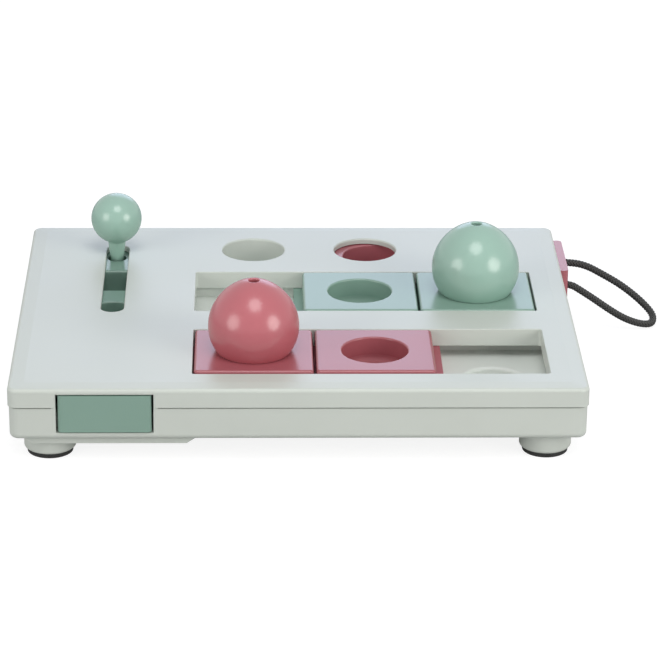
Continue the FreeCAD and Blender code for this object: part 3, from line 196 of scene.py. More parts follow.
@dataclass(frozen=True)
class MouldedRubber:
    """Black thermoplastic rubber, pressed in a matt mould."""

    name: str = "black_moulded_rubber"
    colour: str = "#242525"
    dust_colour: str = "#2E2F2E"
    speck: float = 0.8 * MM
    speck_height: float = 0.03 * MM
    roughness: tuple[float, float] = (0.62, 0.78)
    ior: float = 1.52

    def build(self) -> bpy.types.Material:
        """Build the material.

        Returns:
            A dull black with a pebbled skin that hardly shines.
        """
        material, tree = new_material(self.name)
        place = add_node(tree, "ShaderNodeTexCoord").outputs["Object"]
        speck = add_node(tree, "ShaderNodeTexVoronoi", {"Scale": 1 / self.speck}, {"Vector": place})
        tone = add_node(tree, "ShaderNodeValToRGB", links={"Fac": speck.outputs["Distance"]})
        dusty, clean = tone.color_ramp.elements
        dusty.color, clean.color = linear(self.dust_colour), linear(self.colour)
        rough = add_node(tree, "ShaderNodeMapRange", {
            "To Min": self.roughness[0], "To Max": self.roughness[1]}, {"Value": speck.outputs["Distance"]})
        bump = add_node(tree, "ShaderNodeBump", {"Distance": self.speck_height},
                        {"Height": speck.outputs["Distance"]})
        shader = add_node(tree, "ShaderNodeBsdfPrincipled", {"IOR": self.ior}, {
            "Base Color": tone.outputs["Color"], "Roughness": rough.outputs["Result"],
            "Normal": bump.outputs["Normal"]})
        add_node(tree, "ShaderNodeOutputMaterial", links={"Surface": shader.outputs["BSDF"]})
        return material


@dataclass(frozen=True)
class ZincPlatedSteel:
    """Cold-formed steel with a bright zinc coat."""

    name: str = "zinc_plated_steel"
    colour: str = "#C2C5C6"
    dull_colour: str = "#A4A7A6"
    crystal: float = 0.5 * MM
    crystal_height: float = 0.004 * MM
    roughness: tuple[float, float] = (0.24, 0.44)

    def build(self) -> bpy.types.Material:
        """Build the material.

        Returns:
            A pale metal, a little clouded where the zinc has dulled.
        """
        material, tree = new_material(self.name)
        place = add_node(tree, "ShaderNodeTexCoord").outputs["Object"]
        cloud = add_node(tree, "ShaderNodeTexNoise", {"Scale": 1 / self.crystal, "Detail": 3.0},
                         {"Vector": place})
        tone = add_node(tree, "ShaderNodeValToRGB", links={"Fac": cloud.outputs["Fac"]})
        dull, bright = tone.color_ramp.elements
        dull.color, bright.color = linear(self.dull_colour), linear(self.colour)
        rough = add_node(tree, "ShaderNodeMapRange", {
            "To Min": self.roughness[0], "To Max": self.roughness[1]}, {"Value": cloud.outputs["Fac"]})
        bump = add_node(tree, "ShaderNodeBump", {"Distance": self.crystal_height},
                        {"Height": cloud.outputs["Fac"]})
        shader = add_node(tree, "ShaderNodeBsdfPrincipled", {"Metallic": 1.0}, {
            "Base Color": tone.outputs["Color"], "Roughness": rough.outputs["Result"],
            "Normal": bump.outputs["Normal"]})
        add_node(tree, "ShaderNodeOutputMaterial", links={"Surface": shader.outputs["BSDF"]})
        return material


@dataclass(frozen=True)
class BraidedPolyester:
    """Multifilament polyester yarn, plaited into a round cord."""

    name: str = "braided_polyester_yarn"
    colour: str = "#4E4F4D"
    shade_colour: str = "#1E1F1E"
    shade_spread: tuple[float, float] = (0.38, 0.66)
    # The colour of the painted shade in the grooves between the yarns.
    groove_shade_colour: str = "#050505"
    # Painted shade darkens the groove between these two distances from a yarn's middle.
    groove: tuple[float, float] = (0.12 * MM, 0.42 * MM)
    # Real filaments are 0.02 mm thick; these are over four times as coarse, so that they show.
    filament: float = 0.09 * MM
    filament_height: float = 0.03 * MM
    # The filaments' pattern changes this much more slowly along the yarn than across it.
    filament_slowness: float = 0.12
    roughness: tuple[float, float] = (0.5, 0.75)
    ior: float = 1.54
    fuzz: float = 0.05
    fuzz_roughness: float = 0.5

    def build(self) -> bpy.types.Material:
        """Build the material.

        Returns:
            A dark yarn with fine filaments along it and nearly black painted shade in the grooves at its
            edges.
        """
        material, tree = new_material(self.name)
        along = add_node(tree, "ShaderNodeUVMap", {"uv_map": "Yarn"}).outputs["UV"]
        # The map is in metres: across the strand in X and along it in Y.
        stretch = add_node(tree, "ShaderNodeMapping", {
            "Scale": (1 / self.filament, self.filament_slowness / self.filament, 1.0)}, {"Vector": along})
        fibre = add_node(tree, "ShaderNodeTexNoise", {"Scale": 1.0, "Detail": 2.0},
                         {"Vector": stretch.outputs["Vector"]})
        tone = add_node(tree, "ShaderNodeValToRGB", links={"Fac": fibre.outputs["Fac"]})
        shade, light = tone.color_ramp.elements
        shade.position, light.position = self.shade_spread
        shade.color, light.color = linear(self.shade_colour), linear(self.colour)
        # Each yarn's middle lies at a whole spacing of the map, so this is the distance from it.
        across = add_node(tree, "ShaderNodeSeparateXYZ", links={"Vector": along}).outputs["X"]
        edge = add_node(tree, "ShaderNodeMath", {"operation": "PINGPONG"})
        tree.links.new(across, edge.inputs[0])
        edge.inputs[1].default_value = YARN_SPACING / 2
        depth = add_node(tree, "ShaderNodeMapRange", {
            "From Min": self.groove[0], "From Max": self.groove[1]}, {"Value": edge.outputs["Value"]})
        # Painted shade: the yarn darkens towards its edges, where the grooves between the yarns lie in shade.
        painted_groove_shade = add_node(tree, "ShaderNodeMixRGB", {"Color2": linear(self.groove_shade_colour)}, {
            "Fac": depth.outputs["Result"], "Color1": tone.outputs["Color"]})
        rough = add_node(tree, "ShaderNodeMapRange", {
            "To Min": self.roughness[0], "To Max": self.roughness[1]}, {"Value": fibre.outputs["Fac"]})
        bump = add_node(tree, "ShaderNodeBump", {"Distance": self.filament_height},
                        {"Height": fibre.outputs["Fac"]})
        shader = add_node(tree, "ShaderNodeBsdfPrincipled", {
            "IOR": self.ior, "Sheen Weight": self.fuzz, "Sheen Roughness": self.fuzz_roughness}, {
            "Base Color": painted_groove_shade.outputs["Color"], "Roughness": rough.outputs["Result"],
            "Normal": bump.outputs["Normal"]})
        add_node(tree, "ShaderNodeOutputMaterial", links={"Surface": shader.outputs["BSDF"]})
        return material


@dataclass
class Finishes:
    """Every finish of the feeder, built once and shared by its pieces."""

    pale_shell: bpy.types.Material = field(default_factory=MouldedPlastic(
        "pale_grey_moulded_abs", "#C9CFC8", "#C6CCC5", Gloss.SATIN).build)
    # Painted light: the tray is a paler copy of the shell's grey, to lift it where it lies in shade under the
    # cover.
    pale_tray: bpy.types.Material = field(default_factory=MouldedPlastic(
        "grey_tray_moulded_abs", "#E0E6E0", "#DCE2DC", Gloss.SATIN).build)
    pink_drawer: bpy.types.Material = field(default_factory=MouldedPlastic(
        "dusty_pink_moulded_abs", "#AE666D", "#A9626A", Gloss.SILKY, ior=FAINT_SHINE).build)
    pink_slider: bpy.types.Material = field(default_factory=MouldedPlastic(
        "dusty_pink_slider_abs", "#A55C63", "#A05860", Gloss.SILKY,
        ior=FAINT_SHINE, matt_level=SLIDER_SLAB_TOP).build)
    pink_polished: bpy.types.Material = field(default_factory=MouldedPlastic(
        "dusty_pink_polished_abs", "#BA666E", "#B6636B", Gloss.POLISHED,
        grain_height=POLISHED_GRAIN, ior=CLEAR_SHINE).build)
    green_drawer: bpy.types.Material = field(default_factory=MouldedPlastic(
        "sage_green_moulded_abs", "#84A295", "#809E91", Gloss.SILKY).build)
    green_slider: bpy.types.Material = field(default_factory=MouldedPlastic(
        "sage_green_slider_abs", "#86A497", "#82A093", Gloss.SILKY,
        ior=FAINT_SHINE, matt_level=SLIDER_SLAB_TOP).build)
    green_polished: bpy.types.Material = field(default_factory=MouldedPlastic(
        "sage_green_polished_abs", "#9BBDAF", "#97B9AB", Gloss.POLISHED,
        grain_height=POLISHED_GRAIN, ior=CLEAR_SHINE).build)
    rubber: bpy.types.Material = field(default_factory=MouldedRubber().build)
    steel: bpy.types.Material = field(default_factory=ZincPlatedSteel().build)
    yarn: bpy.types.Material = field(default_factory=BraidedPolyester().build)
    # Painted shade: the core is a nearly black copy of the braid's yarn, so that the gaps between the yarns
    # look shaded.
    core_painted_shade: bpy.types.Material = field(default_factory=BraidedPolyester(
        "polyester_core_yarn", "#0E0E0E", "#060606").build)


def dress(node: str, material: bpy.types.Material) -> None:
    """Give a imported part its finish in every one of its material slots."""
    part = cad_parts[node]
    for place in part.material_slots:
        place.material = material
    LOG.info("dressed %s in %s", node, material.name)


def select_none() -> None:
    """Leave edit mode and deselect every object."""
    if bpy.context.object is not None and bpy.context.object.mode != "OBJECT":
        bpy.ops.object.mode_set(mode="OBJECT")
    bpy.ops.object.select_all(action="DESELECT")


def select_only(piece: bpy.types.Object) -> None:
    """Select one piece alone and make it the active one."""
    select_none()
    piece.select_set(True)
    bpy.context.view_layer.objects.active = piece


def edit(piece: bpy.types.Object, mode: str = "FACE") -> bmesh.types.BMesh:
    """Open a piece in edit mode with nothing selected and return its edit mesh."""
    select_only(piece)
    bpy.ops.object.mode_set(mode="EDIT")
    bpy.ops.mesh.select_mode(type=mode)
    bpy.ops.mesh.select_all(action="DESELECT")
    return bmesh.from_edit_mesh(piece.data)


def join(pieces: list[bpy.types.Object]) -> bpy.types.Object:
    """Join several pieces into the first and return it."""
    select_only(pieces[0])
    for piece in pieces[1:]:
        piece.select_set(True)
    bpy.ops.object.join()
    return pieces[0]


def apply_place(piece: bpy.types.Object) -> None:
    """Put a piece's place into its mesh, so that its object sits at the origin."""
    select_only(piece)
    bpy.ops.object.transform_apply(location=True, rotation=True, scale=True)


def new_curve(name: str, places: list[Vector], order: int, steps: int) -> bpy.types.Curve:
    """Make a curve of one smooth spline.

    Args:
        name: the curve's name.
        places: its control points.
        order: how many control points shape each stretch.
        steps: into how many straight steps each stretch is cut.

    Returns:
        The curve, open and without a thickness.
    """
    data = bpy.data.curves.new(name, "CURVE")
    data.dimensions = "3D"
    data.resolution_u = steps
    spline = data.splines.new("NURBS")
    spline.points.add(len(places) - 1)
    for control, place in zip(spline.points, places):
        control.co = (*place, 1.0)
    spline.order_u = order
    return data


def settle(piece: bpy.types.Object, name: str, material: bpy.types.Material, body: str,
           smooth_deg: float = 35.0) -> bpy.types.Object:
    """Finish a piece: put its place into its mesh, shade, dress and mount it.

    Args:
        piece: the modelled object.
        name: the piece's name.
        material: its finish.
        body: the moving body that carries it.
        smooth_deg: edges that turn by less than this are shaded smooth.

    Returns:
        The finished piece.
    """
    apply_place(piece)
    bpy.ops.object.shade_smooth_by_angle(angle=math.radians(smooth_deg))
    piece.name = name
    piece.data.name = name
    piece.data.materials.clear()
    piece.data.materials.append(material)
    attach(piece, body)
    LOG.info("made %s with %d faces", name, len(piece.data.polygons))
    return piece


@dataclass
class Studio:
    """The camera, floor, surroundings and lamps of the picture."""

    eye: Vector = field(default_factory=lambda: mm(-24.14, -1387.51, 588.86))
    # The camera's turns are in radians, and its focal length is in pixels of the photograph.
    yaw: float = 0.0281
    pitch: float = 0.3883
    roll: float = 0.0099
    focal_pixels: float = 3265.4
    frame_pixels: int = 665
    sensor: float = 36.0
    clip: tuple[float, float] = (0.05, 20.0)
    target: Vector = field(default_factory=lambda: mm(0, 0, 30))
    lamp_distance: float = 1.25
    side_colour: str = "#FFFCF8"
    top_colour: str = "#FFFFFF"
    window_colour: str = "#C8D6FA"
    world_strength: float = 0.36
    sky_colour: str = "#FAFCFF"
    floor_width: float = 8.0
    floor_drop: float = 0.05 * MM
    paper_fibre: float = 1.5 * MM
    paper_fibre_height: float = 0.01 * MM
    paper_colour: str = "#C6C6C6"
    shown_colour: str = "#8C8C8C"
    shown_glow: float = 0.86

    def place_camera(self) -> None:
        """Set the camera where the photograph was taken from."""
        forward = Vector((math.sin(self.yaw) * math.cos(self.pitch),
                          math.cos(self.yaw) * math.cos(self.pitch), -math.sin(self.pitch)))
        level = Vector((math.cos(self.yaw), -math.sin(self.yaw), 0.0))
        upright = level.cross(forward)
        right = math.cos(self.roll) * level + math.sin(self.roll) * upright
        above = math.cos(self.roll) * upright - math.sin(self.roll) * level
        data = bpy.data.cameras.new("studio_camera")
        data.sensor_width = self.sensor
        data.lens = self.focal_pixels * self.sensor / self.frame_pixels
        data.clip_start, data.clip_end = self.clip
        camera = new_object("studio_camera", data)
        turn = Matrix((right, above, -forward)).transposed().to_4x4()
        camera.matrix_world = Matrix.Translation(self.eye) @ turn
        bpy.context.scene.camera = camera

    def add_lamp(self, name: str, azimuth: float, elevation: float, power: float, width: float,
                 colour: str) -> None:
        """Hang a round soft box that faces the feeder.

        Args:
            name: the lamp's name.
            azimuth: degrees round from the front, to the right.
            elevation: degrees above the floor.
            power: watts.
            width: the box's diameter in metres.
            colour: sRGB hex.
        """
        data = bpy.data.lights.new(name, "AREA")
        data.shape = "DISK"
        data.size = width
        data.energy = power
        data.color = linear(colour)[:3]
        lamp = new_object(name, data)
        turn, rise = math.radians(azimuth), math.radians(elevation)
        away = Vector((math.sin(turn) * math.cos(rise), -math.cos(turn) * math.cos(rise), math.sin(rise)))
        lamp.location = self.target + away * self.lamp_distance
        lamp.rotation_mode = "QUATERNION"
        lamp.rotation_quaternion = away.to_track_quat("Z", "Y")

    def light_world(self) -> None:
        """Surround the feeder with an even pale light, and show white behind it and in its gloss."""
        world = bpy.data.worlds.new("white_studio")
        bpy.context.scene.world = world
        world.use_nodes = True
        tree = world.node_tree
        tree.nodes.clear()
        path = add_node(tree, "ShaderNodeLightPath")
        seen = add_node(tree, "ShaderNodeMath", {"operation": "MAXIMUM"})
        tree.links.new(path.outputs["Is Camera Ray"], seen.inputs[0])
        tree.links.new(path.outputs["Is Glossy Ray"], seen.inputs[1])
        light = add_node(tree, "ShaderNodeBackground", {
            "Color": linear(self.sky_colour), "Strength": self.world_strength})
        white = add_node(tree, "ShaderNodeBackground", {"Color": WHITE, "Strength": 1.0})
        mixed = add_node(tree, "ShaderNodeMixShader", links={"Fac": seen.outputs["Value"]})
        tree.links.new(light.outputs["Background"], mixed.inputs[1])
        tree.links.new(white.outputs["Background"], mixed.inputs[2])
        add_node(tree, "ShaderNodeOutputWorld", links={"Surface": mixed.outputs["Shader"]})

    def make_paper(self) -> bpy.types.Material:
        """Build the floor's material.

        Returns:
            A faintly fibrous paper, which glows for the camera alone so that it shows white there.
        """
        material, tree = new_material("white_paper_sheet")
        place = add_node(tree, "ShaderNodeTexCoord").outputs["Object"]
        fibre = add_node(tree, "ShaderNodeTexNoise", {"Scale": 1 / self.paper_fibre, "Detail": 2.0},
                         {"Vector": place})
        bump = add_node(tree, "ShaderNodeBump", {"Distance": self.paper_fibre_height},
                        {"Height": fibre.outputs["Fac"]})
        paper = add_node(tree, "ShaderNodeBsdfDiffuse", {"Color": linear(self.paper_colour)},
                         {"Normal": bump.outputs["Normal"]})
        shown = add_node(tree, "ShaderNodeBsdfDiffuse", {"Color": linear(self.shown_colour)},
                         {"Normal": bump.outputs["Normal"]})
        glow = add_node(tree, "ShaderNodeEmission", {"Color": WHITE, "Strength": self.shown_glow})
        bright = add_node(tree, "ShaderNodeAddShader")
        tree.links.new(shown.outputs["BSDF"], bright.inputs[0])
        tree.links.new(glow.outputs["Emission"], bright.inputs[1])
        path = add_node(tree, "ShaderNodeLightPath")
        mixed = add_node(tree, "ShaderNodeMixShader", links={"Fac": path.outputs["Is Camera Ray"]})
        tree.links.new(paper.outputs["BSDF"], mixed.inputs[1])
        tree.links.new(bright.outputs["Shader"], mixed.inputs[2])
        add_node(tree, "ShaderNodeOutputMaterial", links={"Surface": mixed.outputs["Shader"]})
        return material

    def lay_floor(self) -> None:
        """Lay a wide white sheet that keeps a soft shadow and shows white to the camera."""
        select_none()
        bpy.ops.mesh.primitive_plane_add(size=self.floor_width, location=(0.0, 0.0, -self.floor_drop))
        floor = bpy.context.object
        floor.name = "paper_floor"
        floor.data.materials.append(self.make_paper())

    def build(self) -> None:
        """Set up the camera, floor, world and lamps."""
        bpy.context.scene.view_settings.view_transform = "Standard"
        self.place_camera()
        self.light_world()
        self.lay_floor()
        self.add_lamp("left_soft_box", azimuth=-55.0, elevation=18.0, power=4.8, width=0.70,
                      colour=self.side_colour)
        self.add_lamp("right_soft_box", azimuth=52.0, elevation=18.0, power=6.6, width=0.70,
                      colour=self.side_colour)
        self.add_lamp("top_soft_box", azimuth=5.0, elevation=65.0, power=5.3, width=0.68,
                      colour=self.top_colour)
        # A wide cool window behind the feeder shows in its upper faces and rims.
        self.add_lamp("rear_window_light", azimuth=175.0, elevation=24.0, power=3.5, width=0.9,
                      colour=self.window_colour)
        LOG.info("studio is lit")


@dataclass
class PullCord:
    """The braided cord that loops from one hole of the side drawer to the other."""

    finishes: Finishes
    diameter: float = 3.5 * MM
    core_radius: float = 1.24 * MM
    core_order: int = 3
    core_steps: int = 16
    core_round: int = 6
    length: float = 114 * MM
    # The route's points, from the far hole round the tip to the near hole, in millimetres.
    route: tuple[tuple[float, float, float], ...] = (
        (124.85, 82.2, 24.0), (131.55, 82.2, 24.0), (139.25, 81.0, 22.9), (147.15, 78.4, 19.3),
        (155.15, 75.0, 15.6), (162.75, 71.4, 10.7), (168.95, 67.6, 5.6), (170.85, 62.4, 3.5),
        (169.15, 57.0, 2.0), (163.35, 54.2, 3.2), (155.55, 53.1, 6.4), (147.75, 52.9, 11.4),
        (140.55, 53.0, 16.6), (134.25, 53.1, 20.8), (129.15, 53.4, 24.0), (124.85, 53.4, 24.0))
    strands_each_way: int = 6
    pitch: float = 9.0 * MM
    yarn_half_width: float = 0.43 * MM
    yarn_half_thick: float = 0.27 * MM
    yarn_sides: int = 6
    braid_radius: float = 1.37 * MM
    braid_smooth_deg: float = 80.0
    weave: float = 0.17 * MM
    step: float = 0.28 * MM
    knot_loop: float = 0.62 * MM
    knot_radius: float = 1.15 * MM
    # The knot's lobes reach this many times its loop sideways and along the hole.
    knot_lobe: float = 2.0
    knot_depth: float = 1.9
    knot_points: int = 18
    knot_order: int = 4
    knot_steps: int = 6
    knot_round: int = 4
    knot_smooth_deg: float = 60.0
    # The knots' middle along X, in millimetres like the route.
    knot_middle: float = 122.35

    def make_core(self) -> bpy.types.Object:
        """Make the cord's smooth centreline with a round core on it.

        Returns:
            The core, a curve of one open spline.
        """
        data = new_curve("pull_cord", [mm(*place) for place in self.route], self.core_order, self.core_steps)
        data.splines[0].use_endpoint_u = True
        data.bevel_depth = self.core_radius
        data.bevel_resolution = self.core_round
        data.use_fill_caps = True
        core = new_object("pull_cord_core", data)
        # The core shows in the gaps between the yarns as painted shade.
        data.materials.append(self.finishes.core_painted_shade)
        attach(core, "cord_drawer")
        return core

    def read_line(self, core: bpy.types.Object) -> list[Vector]:
        """Read the centreline off the core's spline, at even steps.

        Args:
            core: the cord's curve.

        Returns:
            Points along the centreline.
        """
        bare = core.copy()
        bare.data = core.data.copy()
        bare.data.bevel_depth = 0.0
        mesh = bpy.data.meshes.new_from_object(bare)
        corners = [vertex.co.copy() for vertex in mesh.vertices]
        bpy.data.meshes.remove(mesh)
        bpy.data.curves.remove(bare.data)
        gone = [0.0]
        for first, second in zip(corners, corners[1:]):
            gone.append(gone[-1] + (second - first).length)
        count = round(gone[-1] / self.step)
        line = []
        index = 0
        for number in range(count + 1):
            reach = gone[-1] * number / count
            while index < len(gone) - 2 and gone[index + 1] < reach:
                index += 1
            share = (reach - gone[index]) / (gone[index + 1] - gone[index])
            line.append(corners[index].lerp(corners[index + 1], share))
        return line

    def frames_along(self, line: list[Vector]) -> list[tuple[Vector, Vector, Vector]]:
        """Find the cord's directions at each point, turning with its bends and not twisting.

        Args:
            line: even points of the centreline.

        Returns:
            The way along the cord and two ways across it, at each point.
        """
        behind, ahead = line[:1] + line[:-1], line[1:] + line[-1:]
        ways = [(after - before).normalized() for before, after in zip(behind, ahead)]
        side = ways[0].orthogonal().normalized()
        frames = []
        for way in ways:
            side = (side - way * side.dot(way)).normalized()
            frames.append((way, side, way.cross(side)))
        return frames

    def lay_yarn(self, hand: Hand, strand: int, line: list[Vector],
                 frames: list[tuple[Vector, Vector, Vector]],
                 ) -> tuple[list[Vector], list[tuple[float, float]]]:
        """Wind one flat yarn round the centreline, over two others and under two.

        Args:
            hand: the way round in which it winds.
            strand: its number among the yarns that wind this way.
            line: even points of the centreline.
            frames: the cord's directions at those points.

        Returns:
            The yarn's corners, one ring at each point, and their places on the yarn map.
        """
        spacing = (line[1] - line[0]).length
        slope = math.tau * self.braid_radius / self.pitch
        turns = [math.tau * side / self.yarn_sides for side in range(self.yarn_sides)]
        profile = [(math.cos(turn), math.sin(turn)) for turn in turns]
        corners, marks = [], []
        for number, (point, (way, across, upward)) in enumerate(zip(line, frames)):
            gone = number * spacing
            turn = hand.value * math.tau * gone / self.pitch + math.tau * strand / self.strands_each_way
            crossing = 2 * self.strands_each_way * gone / self.pitch
            # A yarn rises and dips once in four crossings, a quarter turn of the wave for each.
            weave_turn = math.pi / 2 * (2 * strand + hand.value * crossing) - math.pi / 4
            lift = hand.value * self.weave * math.cos(weave_turn)
            outward = across * math.cos(turn) + upward * math.sin(turn)
            round_way = upward * math.cos(turn) - across * math.sin(turn)
            wide = (round_way - hand.value * slope * way).normalized()
            middle = point + outward * (self.braid_radius + lift)
            for flat, thick in profile:
                corners.append(middle + wide * (flat * self.yarn_half_width)
                               + outward * (thick * self.yarn_half_thick))
                marks.append((flat * self.yarn_half_width + strand * YARN_SPACING,
                              gone * math.hypot(1, slope)))
        return corners, marks

    def make_braid(self, line: list[Vector]) -> bpy.types.Object:
        """Plait flat yarns round the centreline, two over and two under.

        Args:
            line: even points of the centreline.

        Returns:
            The braid as one mesh.
        """
        frames = self.frames_along(line)
        corners, faces, marks = [], [], []
        for hand in Hand:
            for strand in range(self.strands_each_way):
                start = len(corners)
                yarn_corners, yarn_marks = self.lay_yarn(hand, strand, line, frames)
                corners += yarn_corners
                marks += yarn_marks
                for number in range(len(line) - 1):
                    ring = start + self.yarn_sides * number
                    next_ring = ring + self.yarn_sides
                    for side in range(self.yarn_sides):
                        after = (side + 1) % self.yarn_sides
                        faces.append((ring + side, ring + after, next_ring + after, next_ring + side))
        mesh = bpy.data.meshes.new("pull_cord_braid")
        mesh.from_pydata(corners, [], faces)
        yarn_map = mesh.uv_layers.new(name="Yarn")
        for corner in mesh.loops:
            yarn_map.data[corner.index].uv = marks[corner.vertex_index]
        braid = new_object("pull_cord_braid", mesh)
        edit(braid)
        bpy.ops.mesh.select_all(action="SELECT")
        bpy.ops.mesh.normals_make_consistent(inside=False)
        return settle(braid, "pull_cord_braid", self.finishes.yarn, "cord_drawer",
                      self.braid_smooth_deg)

    def make_knot(self, name: str, hole: tuple[float, float]) -> bpy.types.Object:
        """Tie one end of the cord in a tight stopper knot behind the drawer's face.

        Args:
            name: the piece's name.
            hole: the hole's place along Y and its level, in millimetres.

        Returns:
            The knot as a mesh.
        """
        middle = mm(self.knot_middle, *hole)
        places = []
        # A trefoil: three lobes that pass over and under one another.
        for turn in (math.tau * number / self.knot_points for number in range(self.knot_points)):
            wide = math.sin(turn) + self.knot_lobe * math.sin(2 * turn)
            high = math.cos(turn) - self.knot_lobe * math.cos(2 * turn)
            deep = self.knot_depth * math.sin(3 * turn)
            places.append(middle + Vector((deep, wide, high)) * self.knot_loop)
        data = new_curve(name, places, self.knot_order, self.knot_steps)
        data.splines[0].use_cyclic_u = True
        data.bevel_depth = self.knot_radius
        data.bevel_resolution = self.knot_round
        knot = new_object(name, data)
        select_only(knot)
        bpy.ops.object.convert(target="MESH")
        yarn_map = knot.data.uv_layers.new(name="Yarn")
        for corner in knot.data.loops:
            place = knot.data.vertices[corner.vertex_index].co
            yarn_map.data[corner.index].uv = (place.y + place.z, place.x - place.y)
        return settle(knot, name, self.finishes.yarn, "cord_drawer", self.knot_smooth_deg)

    def build(self) -> None:
        core = self.make_core()
        line = self.read_line(core)
        braid = self.make_braid(line)
        far = self.make_knot("pull_cord_far_knot", self.route[0][1:])
        near = self.make_knot("pull_cord_near_knot", self.route[-1][1:])
        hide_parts("pull_cord")
        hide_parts("cord_knots")
        LOG.info("made the pull cord with %d points on its line", len(line))


@dataclass
class FootPads:
    """Four round rubber pads with anti-slip rings underneath."""

    finishes: Finishes
    radius: float = 10.0 * MM
    thick: float = 2.2 * MM
    sides: int = 64
    plug_radius: float = 8.9 * MM
    plug_rise: float = 0.5 * MM
    edge_round: float = 0.4 * MM
    edge_segments: int = 4
    # Corners beyond this share of the radius are on the outer edge.
    edge_share: float = 0.99
    ring_width: float = 1.15 * MM
    groove_depth: float = 0.35 * MM
    groove_width: float = 0.7 * MM
    flank: float = 0.15 * MM
    rings: int = 3
    # The middle of each foot, in millimetres.
    spots: dict[str, tuple[float, float]] = field(default_factory=lambda: {
        "front_left": (-110.25, -83.0), "front_right": (106.15, -83.0),
        "rear_left": (-110.25, 83.0), "rear_right": (106.15, 83.0)})

    def make_pad(self, name: str, spot: tuple[float, float]) -> None:
        """Model one pad at its foot.

        Args:
            name: which foot it is under.
            spot: the foot's middle in millimetres.
        """
        select_none()
        bpy.ops.mesh.primitive_cylinder_add(vertices=self.sides, radius=self.radius, depth=self.thick,
                                            location=(*mm(*spot), self.thick / 2))
        pad = bpy.context.object
        shape = edit(pad)
        for face in shape.faces:
            face.select = face.normal.z > LEVEL_FACE
        bpy.ops.mesh.inset(thickness=self.radius - self.plug_radius)
        bpy.ops.mesh.extrude_region_move(TRANSFORM_OT_translate={"value": (0, 0, self.plug_rise)})
        shape = edit(pad)
        for face in shape.faces:
            face.select = face.normal.z < -LEVEL_FACE
        bpy.ops.mesh.inset(thickness=self.ring_width + self.edge_round)
        for _ in range(self.rings):
            bpy.ops.mesh.inset(thickness=self.flank, depth=-self.groove_depth)
            bpy.ops.mesh.inset(thickness=self.groove_width)
            bpy.ops.mesh.inset(thickness=self.flank, depth=self.groove_depth)
            bpy.ops.mesh.inset(thickness=self.ring_width / 2)
        shape = edit(pad, "EDGE")
        for line in shape.edges:
            far = [vertex.co.xy.length > self.radius * self.edge_share for vertex in line.verts]
            low = [vertex.co.z < 0 for vertex in line.verts]
            line.select = all(far) and all(low)
        bpy.ops.mesh.bevel(offset=self.edge_round, segments=self.edge_segments)
        settle(pad, f"rubber_pad_{name}", self.finishes.rubber, "case")
        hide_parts(f"foot_pad_{name}")

    def build(self) -> None:
        """Model the four pads."""
        for name, spot in self.spots.items():
            self.make_pad(name, spot)


